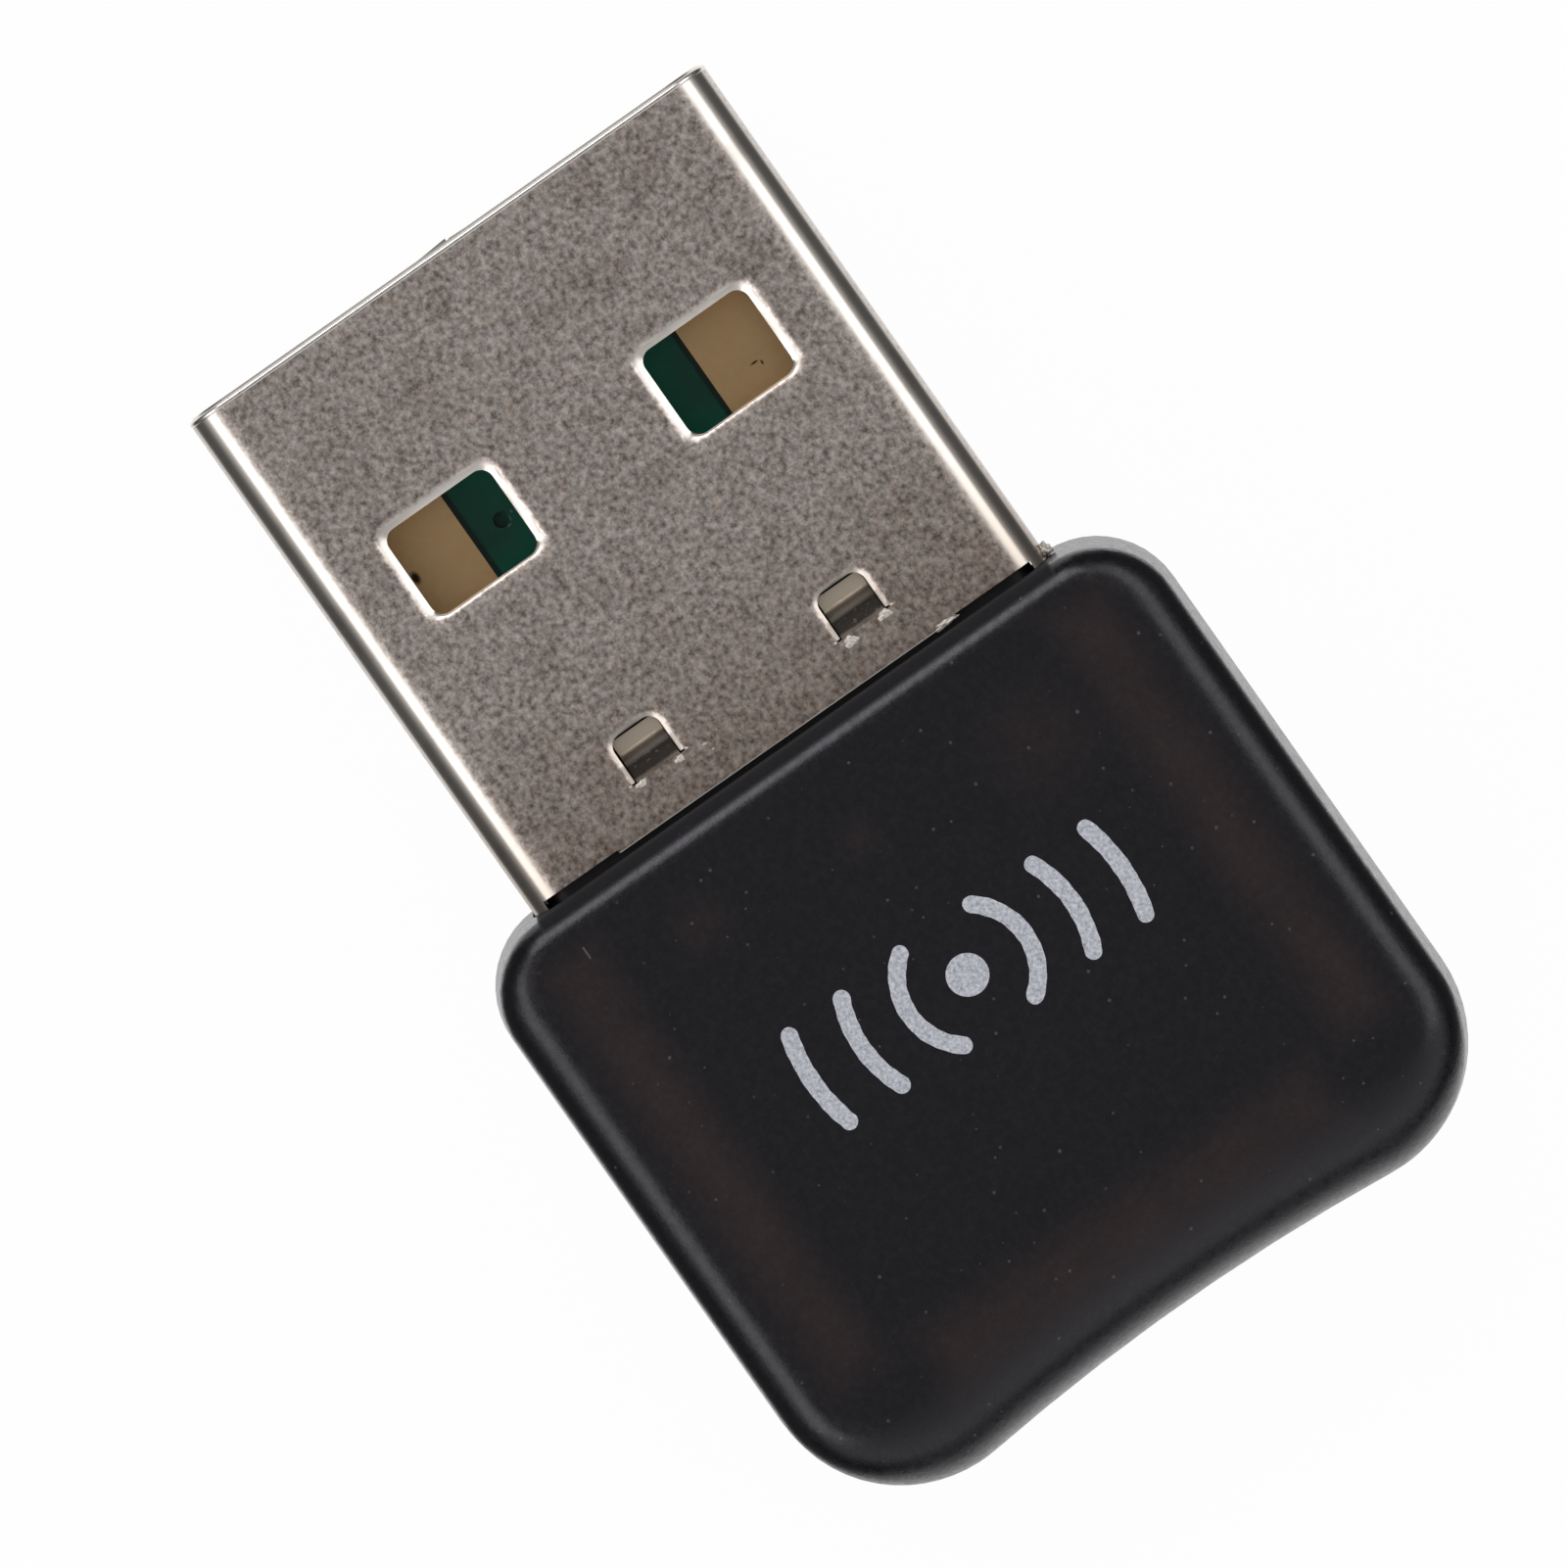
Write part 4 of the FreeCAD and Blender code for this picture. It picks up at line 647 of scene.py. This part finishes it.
# Arc: its width stays even along the arc and closes in a half circle at each end, plus two small ripples
def arcGrid(look, radius, side):
    half = look["width"] / 2
    reach = math.asin(min(1.0, look["halfHeight"] / radius)) * radius
    along = np.sin(np.linspace(-np.pi / 2, np.pi / 2, look["rows"])) * reach
    nearEnd = np.clip((reach - np.abs(along)) / half, look["narrowest"], 1.0)
    wide = half * np.sqrt(1 - (1 - nearEnd) ** 2)
    ripple = (np.sin(along / look["longRipple"] + radius * look["rippleTurn"])
              + np.sin(along / look["shortRipple"] - side))
    wide = wide * (1 + look["unevenness"] * ripple / 2)
    across = np.linspace(-1, 1, look["columns"])
    distance = radius + wide[:, None] * across[None, :]
    angle = (along / radius)[:, None]
    x = look["centre"][0] + distance * np.sin(angle)
    y = look["centre"][1] + side * distance * np.cos(angle)
    z = np.full_like(x, housingTopZ + look["thickness"])
    return np.stack([x, y, z], axis=-1)


# Disc: a square grid squeezed to a circle, so that no face has two corners in one place
def discGrid(side):
    u, v = np.meshgrid(np.linspace(-1, 1, side), np.linspace(-1, 1, side), indexing="ij")
    return u * np.sqrt(1 - v * v / 2), v * np.sqrt(1 - u * u / 2)


# The dot's disc and the six arcs, each a slab from the ink's top to a little below the plastic's face
def makePrint():
    look = printLook
    thickness = look["thickness"] + look["sink"]
    x, y = discGrid(look["dotSide"])
    dot = np.stack([look["centre"][0] + look["dotRadius"] * x, look["centre"][1] + look["dotRadius"] * y,
                    np.full_like(x, housingTopZ + look["thickness"])], axis=-1)
    parts = [slab(dot, thickness)]
    for radius in look["radii"]:
        for side in (1, -1):
            parts.append(slab(arcGrid(look, radius, side), thickness))
    points, faces = joined(parts)
    addPiece("print_ink", points, faces, ink)


# Lip: a thin burnished bead along the sheet's outer edge at the mouth, from one side of the seam to the other
lipLook = {"radius": 0.065 * mm, "inset": 0.045 * mm, "setback": 0.105 * mm, "bend": 0.80 * mm,
           "seamHalf": 0.04 * mm, "cornerSteps": 14, "ring": 12, "smoothAngle": 60}


# Path of the lip as points (y, z) with outward directions: straight runs between four quarter circles
def lipPath(look):
    bend = look["bend"] - look["inset"]
    wide = shellHigh.y - look["inset"] - bend
    low = plugBottomZ + look["inset"] + bend
    high = plugTopZ - look["inset"] - bend
    down = np.array([[0.0, -1.0]])
    ways = [down]
    centres = [np.array([[look["seamHalf"], low]])]
    for y, z, first in ((wide, low, -90), (wide, high, 0), (-wide, high, 90), (-wide, low, 180)):
        angle = np.radians(np.linspace(first, first + 90, look["cornerSteps"]))
        ways.append(np.stack([np.cos(angle), np.sin(angle)], axis=-1))
        centres.append(np.tile([[y, z]], (len(angle), 1)))
    ways.append(down)
    centres.append(np.array([[-look["seamHalf"], low]]))
    ways = np.concatenate(ways)
    return np.concatenate(centres) + bend * ways, ways


# Bead: a circle round each point of the path, in the plane of X and the outward direction
def makeLip():
    look = lipLook
    path, ways = lipPath(look)
    angle = np.linspace(0, 2 * np.pi, look["ring"], endpoint=False)
    out = look["radius"] * np.cos(angle)
    x = mouthX - look["setback"] + look["radius"] * np.sin(angle)
    ringYz = path[:, None, :] + ways[:, None, :] * out[None, :, None]
    points = np.concatenate([np.broadcast_to(x[None, :, None], ringYz.shape[:2] + (1,)), ringYz], axis=-1)
    faces = sweepFaces(len(path), look["ring"], False)
    addPiece("mouth_lip", points.reshape(-1, 3), faces, burnish, look["smoothAngle"])


# Bent corners of the seam: the lower plate's front edge stands out on both sides of the seam, most at the
# seam; sides are the side's sign, the bend's length and how far it stands out
seamLook = {"sheet": 0.30 * mm, "clear": 0.004 * mm, "seamHalf": 0.03 * mm, "depth": 0.10 * mm, "rows": 16,
            "columns": 3, "tipBack": 0.01 * mm, "bendPower": 1.3,
            "sides": ((1, 1.30 * mm, 0.085 * mm), (-1, 1.70 * mm, 0.045 * mm))}


# Tip stands out by the full measure times (1 - share of the length) to a power; X runs straight back from it
def makeSeamCorners():
    look = seamLook
    parts = []
    for side, length, stand in look["sides"]:
        share = np.linspace(0, 1, look["rows"])
        y = side * (look["seamHalf"] + share * length)
        tip = mouthX - look["tipBack"] + stand * (1 - share) ** look["bendPower"]
        across = np.linspace(0, 1, look["columns"])
        x = (mouthX - look["depth"]) + across[None, :] * (tip[:, None] - mouthX + look["depth"])
        z = np.full_like(x, plugBottomZ + look["sheet"] - look["clear"])
        grid = np.stack([x, np.broadcast_to(y[:, None], x.shape), z], axis=-1)
        parts.append(slab(grid, look["sheet"] - 2 * look["clear"]))
    points, faces = joined(parts)
    addPiece("seam_corners", points, faces, plate)


# Burrs: small ragged flakes on the plate, each as centre, half sizes, height and sink, all in mm; the rim's
# waves are (size, count, turn) and the dome's lumps (size, count along, count across)
burrLook = {
    "side": 13, "rimWaves": ((0.16, 3, 1.0), (0.10, 7, 2.1)), "lumps": (0.3, 5, 6),
    "flakes": [
        ((1.85, -2.02, 5.745), (0.110, 0.15), 0.026, 0.02),
        ((1.90, -2.84, 5.745), (0.090, 0.16), 0.026, 0.02),
        ((1.89, 1.97, 5.745), (0.070, 0.11), 0.020, 0.02),
        ((1.92, 2.84, 5.745), (0.070, 0.13), 0.020, 0.02),
        ((1.85, 1.41, 5.745), (0.035, 0.05), 0.030, 0.02),
        ((1.68, 1.33, 5.745), (0.020, 0.03), 0.020, 0.02),
        ((1.10, -3.68, 5.72), (0.075, 0.27), 0.050, 0.06),
        ((1.14, -6.07, 5.02), (0.14, 0.13), 0.10, 0.30)],
}


# Flake: a half ball's height over an oval, lumpy by a product of two waves, with waves round its rim
def flakeGrid(look, centre, half, height, seed):
    x, y = discGrid(look["side"])
    angle = np.arctan2(y, x)
    ragged = 1.0
    for size, count, turn in look["rimWaves"]:
        ragged = ragged + size * np.sin(count * angle + turn * seed)
    size, countAlong, countAcross = look["lumps"]
    lumpy = 1 + size * np.sin(countAlong * x + seed) * np.cos(countAcross * y - seed)
    dome = np.sqrt(np.clip(1 - x * x - y * y, 0, 1)) * lumpy
    return np.stack([centre[0] + half[0] * x * ragged, centre[1] + half[1] * y * ragged,
                     centre[2] + height * dome], axis=-1) * mm


# All flakes, each a slab that sinks into the plate, told apart by their number in the list
def makeBurrs():
    look = burrLook
    parts = []
    for seed, (centre, half, height, sink) in enumerate(look["flakes"]):
        parts.append(slab(flakeGrid(look, centre, half, height, seed + 1.0), sink * mm))
    points, faces = joined(parts)
    addPiece("plate_burrs", points, faces, scraped)


# Rims: smooth rolled caps on the openings' edges; a profile is (outward from the edge, up from the plate) in
# mm, and the openings' X and Y ranges are those on the left side
rimLook = {
    "profile": [(0.270, 0.001), (0.220, -0.006), (0.160, -0.024), (0.090, -0.060), (0.035, -0.092),
                (0.000, -0.115), (-0.006, -0.200), (-0.006, -0.260), (0.010, -0.260), (0.030, -0.180),
                (0.100, -0.100), (0.250, -0.020)],
    "rearProfile": [(0.270, 0.001), (0.180, -0.004), (0.110, -0.009), (0.055, -0.015), (0.020, -0.035),
                    (0.000, -0.075), (-0.006, -0.200), (-0.006, -0.260), (0.010, -0.260), (0.030, -0.180),
                    (0.100, -0.100), (0.250, -0.020)],
    "tabProfile": [(0.200, 0.001), (0.150, -0.003), (0.100, -0.010), (0.060, -0.026), (0.020, -0.048),
                   (-0.010, -0.068), (-0.012, -0.160), (-0.012, -0.200), (0.010, -0.200), (0.030, -0.130),
                   (0.080, -0.070), (0.180, -0.020)],
    "windowX": (mouthX - 5.86 * mm, mouthX - 3.93 * mm), "windowY": (1.79 * mm, 4.21 * mm),
    "windowCorner": 0.27 * mm,
    "tabX": (mouthX - 10.60 * mm, mouthX - 9.64 * mm), "tabY": (1.86 * mm, 2.94 * mm),
    "tabCorner": 0.26 * mm, "tabEnd": 0.02 * mm,
    "steps": 10, "between": 8, "widening": 0.17, "smoothAngle": 50,
}


# Path of a rim round a box, from its high X and low Y corner: arc centres, outward directions and the rim's
# width, which grows from the middle of each side towards the corners as 1 + widening * (place on side)^2
def rimPath(look, xs, ys, radius, corners, closed):
    places = [(xs[1] - radius, ys[0] + radius, -90), (xs[1] - radius, ys[1] - radius, 0),
              (xs[0] + radius, ys[1] - radius, 90), (xs[0] + radius, ys[0] + radius, 180)]
    share = np.linspace(-1, 1, look["between"] + 2)[1:-1, None]
    centres, ways, widths = [], [], []
    for order, corner in enumerate(corners):
        x, y, first = places[corner]
        angle = np.radians(np.linspace(first, first + 90, look["steps"]))
        centres.append(np.tile([[x, y]], (look["steps"], 1)))
        ways.append(np.stack([np.cos(angle), np.sin(angle)], axis=-1))
        widths.append(np.full(look["steps"], 1 + look["widening"]))
        if closed or order < len(corners) - 1:
            nextX, nextY = places[(corner + 1) % 4][:2]
            middle = np.array([[x + nextX, y + nextY]]) / 2
            centres.append(middle + share * np.array([[nextX - x, nextY - y]]) / 2)
            ways.append(np.tile(ways[-1][-1:], (look["between"], 1)))
            widths.append(1 + look["widening"] * share[:, 0] ** 2)
    return np.concatenate(centres), np.concatenate(ways), np.concatenate(widths)


# Rim: a closed profile swept along the path, which turns into the rear profile by the square of how far the
# path faces rearward
def rimSweep(path, radius, profile, rearProfile, closed):
    centres, ways, widths = path
    rearward = np.clip(-ways[:, 0], 0, 1)[:, None, None] ** 2
    section = (np.array(profile) * (1 - rearward) + np.array(rearProfile) * rearward) * mm
    outward = np.where(section[:, :, 0] > 0, section[:, :, 0] * widths[:, None], section[:, :, 0])
    plan = centres[:, None, :] + ways[:, None, :] * (radius + outward)[:, :, None]
    points = np.concatenate([plan, plugTopZ + section[:, :, 1:]], axis=-1)
    return points.reshape(-1, 3), sweepFaces(len(centres), len(profile), closed)


# A closed rim round each window and an open one round the front of each tab, with the right side's path
# mirrored in Y
def makeRims():
    look = rimLook
    windowRadius, tabRadius, tabProfile = look["windowCorner"], look["tabCorner"], look["tabProfile"]
    window = rimPath(look, look["windowX"], look["windowY"], windowRadius, (0, 1, 2, 3), True)
    centres, ways, widths = rimPath(look, look["tabX"], look["tabY"], tabRadius, (0, 1), False)
    endX = look["tabX"][0] + look["tabEnd"]
    tab = (np.concatenate([[[endX, centres[0, 1]]], centres, [[endX, centres[-1, 1]]]]),
           np.concatenate([[[0.0, -1.0]], ways, [[0.0, 1.0]]]), np.concatenate([[1.0], widths, [1.0]]))
    for side, name in ((1, "left"), (-1, "right")):
        flip = np.array([1, side])
        path = (window[0] * flip, window[1] * flip, window[2])
        points, faces = rimSweep(path, windowRadius, look["profile"], look["rearProfile"], True)
        addPiece(name + "_window_rim", points, faces, plate, look["smoothAngle"])
        path = (tab[0] * flip, tab[1] * flip, tab[2])
        points, faces = rimSweep(path, tabRadius, tabProfile, tabProfile, False)
        addPiece(name + "_tab_rim", points, faces, plate, look["smoothAngle"])


makePrint()
makeLip()
makeSeamCorners()
makeBurrs()
makeRims()


# Floor: a plain white sheet that keeps the adapter's shadow and shows white to the eye and in gloss
floorLook = {
    "half": 2.0, "below": 0.01 * mm, "albedo": rgb(0.86, 0.86, 0.86), "eyeShare": 0.97,
    "sideFrom": 9.5 * mm, "sideTo": 13.0 * mm, "sideGloss": 0.08,
    "endFrom": 17.5 * mm, "endTo": 42 * mm, "endGloss": 0.2,
}


# In gloss the sheet shows a painted pool of light: its level is a fall-off with Y times the square of a
# fall-off with -X, so the sheet is white round the adapter; it is clear from below, so that the adapter's
# underside can be looked at
def makeFloor():
    look = floorLook
    half, low = look["half"], -look["below"]
    mesh = bpy.data.meshes.new("floor")
    mesh.from_pydata([(-half, -half, low), (half, -half, low), (half, half, low), (-half, half, low)], [],
                     [(0, 1, 2, 3)])
    floor = bpy.data.objects.new("floor", mesh)
    bpy.context.scene.collection.objects.link(floor)
    material, tree, shader = newMaterial("floorSheet")
    tree.nodes.remove(shader)
    along, across = separate(tree, objectPlace(tree))[:2]
    sides = mapRange(tree, maths(tree, "ABSOLUTE", across), look["sideFrom"], look["sideTo"],
                     1.0, look["sideGloss"])
    end = mapRange(tree, along, -look["endTo"], -look["endFrom"], look["endGloss"], 1.0, smooth=False)
    pool = maths(tree, "MULTIPLY", sides, maths(tree, "MULTIPLY", end, end))
    path = addNode(tree, "ShaderNodeLightPath").outputs
    level = mixColour(tree, path["Is Glossy Ray"], rgb(1, 1, 1), pool)
    glow = addNode(tree, "ShaderNodeEmission", {"Color": level, "Strength": 1.0})
    sheet = addNode(tree, "ShaderNodeBsdfDiffuse", {"Color": look["albedo"]})
    eye = maths(tree, "MULTIPLY", path["Is Camera Ray"], look["eyeShare"])
    through = maths(tree, "MAXIMUM", path["Is Glossy Ray"], path["Is Transmission Ray"])
    seen = maths(tree, "MAXIMUM", eye, through)
    top = addNode(tree, "ShaderNodeMixShader", {0: seen, 1: sheet.outputs[0], 2: glow.outputs[0]})
    below = addNode(tree, "ShaderNodeNewGeometry").outputs["Backfacing"]
    clear = addNode(tree, "ShaderNodeBsdfTransparent")
    blend = addNode(tree, "ShaderNodeMixShader", {0: below, 1: top.outputs[0], 2: clear.outputs[0]})
    feed(tree, tree.nodes["Material Output"].inputs["Surface"], blend.outputs[0])
    mesh.materials.append(material)


# Sky of the studio: dim overhead, bright at half height and dim again at the horizon. A step is (0.5 + half
# the direction's height, level), and the sides' steps give way to the front's and the rear's from turnFrom to
# turnTo along X
skyLook = {
    "sides": [(0.0, 0.11), (0.52, 0.11), (0.60, 0.30), (0.75, 0.60), (0.86, 0.56), (0.955, 0.27),
              (1.0, 0.23)],
    "front": [(0.0, 0.04), (0.55, 0.05), (0.68, 0.08), (0.78, 0.40), (0.88, 0.60), (0.955, 0.27),
              (1.0, 0.23)],
    "rear": [(0.0, 0.30), (0.52, 0.70), (0.58, 0.80), (0.70, 0.66), (0.85, 0.42), (0.955, 0.25),
             (1.0, 0.23)],
    "turnFrom": 0.35, "turnTo": 0.80,
}


# Level of the sky by the direction's height, read from a ramp of steps
def skyLevel(tree, height, steps):
    ramp = addNode(tree, "ShaderNodeValToRGB", {0: maths(tree, "MULTIPLY_ADD", height, 0.5, 0.5)})
    ramp.color_ramp.interpolation = "EASE"
    stops = ramp.color_ramp.elements
    for index, (position, level) in enumerate(steps):
        stop = stops[index] if index < 2 else stops.new(position)  # a new ramp has two stops
        stop.position = position
        stop.color = rgb(level, level, level)
    return ramp.outputs[0]


# The sides' level, blended into the front's with X and into the rear's with -X; plain white to the eye
def makeSky():
    look = skyLook
    world = bpy.data.worlds.new("studio")
    bpy.context.scene.world = world
    world.use_nodes = True
    tree = world.node_tree
    direction = separate(tree, addNode(tree, "ShaderNodeTexCoord").outputs["Generated"])
    level = skyLevel(tree, direction[2], look["sides"])
    for sign, steps in ((1, look["front"]), (-1, look["rear"])):
        share = mapRange(tree, direction[0], sign * look["turnFrom"], sign * look["turnTo"], 0.0, 1.0)
        level = mixColour(tree, share, level, skyLevel(tree, direction[2], steps))
    path = addNode(tree, "ShaderNodeLightPath").outputs
    eye = maths(tree, "MAXIMUM", path["Is Camera Ray"], path["Is Transmission Ray"])
    ground = tree.nodes["Background"].inputs
    feed(tree, ground["Color"], mixColour(tree, eye, level, rgb(1, 1, 1)))
    feed(tree, ground["Strength"], 1.0)


# Soft boxes: azimuth from +X and polar angle from straight up in degrees, distance and size in metres
softBoxes = {
    "leftBox": {"azimuth": 90, "polar": 50, "distance": 0.62, "size": (0.80, 0.33), "radiance": 1.36},
    "rightBox": {"azimuth": -90, "polar": 53.5, "distance": 0.62, "size": (0.80, 0.33), "radiance": 1.12},
    "frontBox": {"azimuth": 0, "polar": 46, "distance": 0.62, "size": (0.44, 0.32), "radiance": 2.9},
}


# Each lamp faces the origin from its direction, with a power of radiance times pi times its area
def makeSoftBoxes():
    for name, look in softBoxes.items():
        wide, tall = look["size"]
        lamp = bpy.data.lights.new(name, "AREA")
        lamp.shape = "RECTANGLE"
        lamp.size = wide
        lamp.size_y = tall
        lamp.energy = look["radiance"] * math.pi * wide * tall
        azimuth, polar = math.radians(look["azimuth"]), math.radians(look["polar"])
        level = math.sin(polar)  # the direction's length in plan
        out = Vector((level * math.cos(azimuth), level * math.sin(azimuth), math.cos(polar)))
        turn = out.to_track_quat("Z", "Y").to_matrix().to_4x4()
        box = bpy.data.objects.new(name, lamp)
        box.matrix_world = Matrix.Translation(out * look["distance"]) @ turn
        box.visible_camera = False
        bpy.context.scene.collection.objects.link(box)


# Camera: far above, leaning a little towards the mouth and the right, with the picture turned on the part;
# leans and turn in degrees, scale in pixels per mm, picture in pixels and sensor in mm
cameraLook = {
    "aim": (0.317 * mm, 0.641 * mm, 4.5 * mm), "distance": 0.39, "leanMouth": 1.5, "leanRight": 1.5,
    "turn": 35.06, "scale": 53.08, "picture": 1601, "sensor": 36.0, "clip": (0.01, 10),
}


# Lens is the sensor's width times the distance over the width that the picture shows at the aim; the
# camera's axes are right, up and the way back from the aim
def makeCamera():
    look = cameraLook
    aim = Vector(look["aim"])
    back = Vector((math.tan(math.radians(look["leanMouth"])), -math.tan(math.radians(look["leanRight"])), 1))
    back.normalize()
    turn = math.radians(look["turn"])
    up = Vector((math.cos(turn), -math.sin(turn), 0))
    right = up.cross(back).normalized()
    up = back.cross(right)
    data = bpy.data.cameras.new("camera")
    data.sensor_width = look["sensor"]
    data.lens = look["sensor"] * look["distance"] / (look["picture"] / look["scale"] * mm)
    data.clip_start, data.clip_end = look["clip"]
    camera = bpy.data.objects.new("camera", data)
    axes = Matrix((right, up, back)).transposed().to_4x4()
    camera.matrix_world = Matrix.Translation(aim + back * look["distance"]) @ axes
    bpy.context.scene.collection.objects.link(camera)
    bpy.context.scene.camera = camera


makeFloor()
makeSky()
makeSoftBoxes()
makeCamera()
bpy.context.scene.view_settings.view_transform = "Standard"
print("stage, light and camera set")
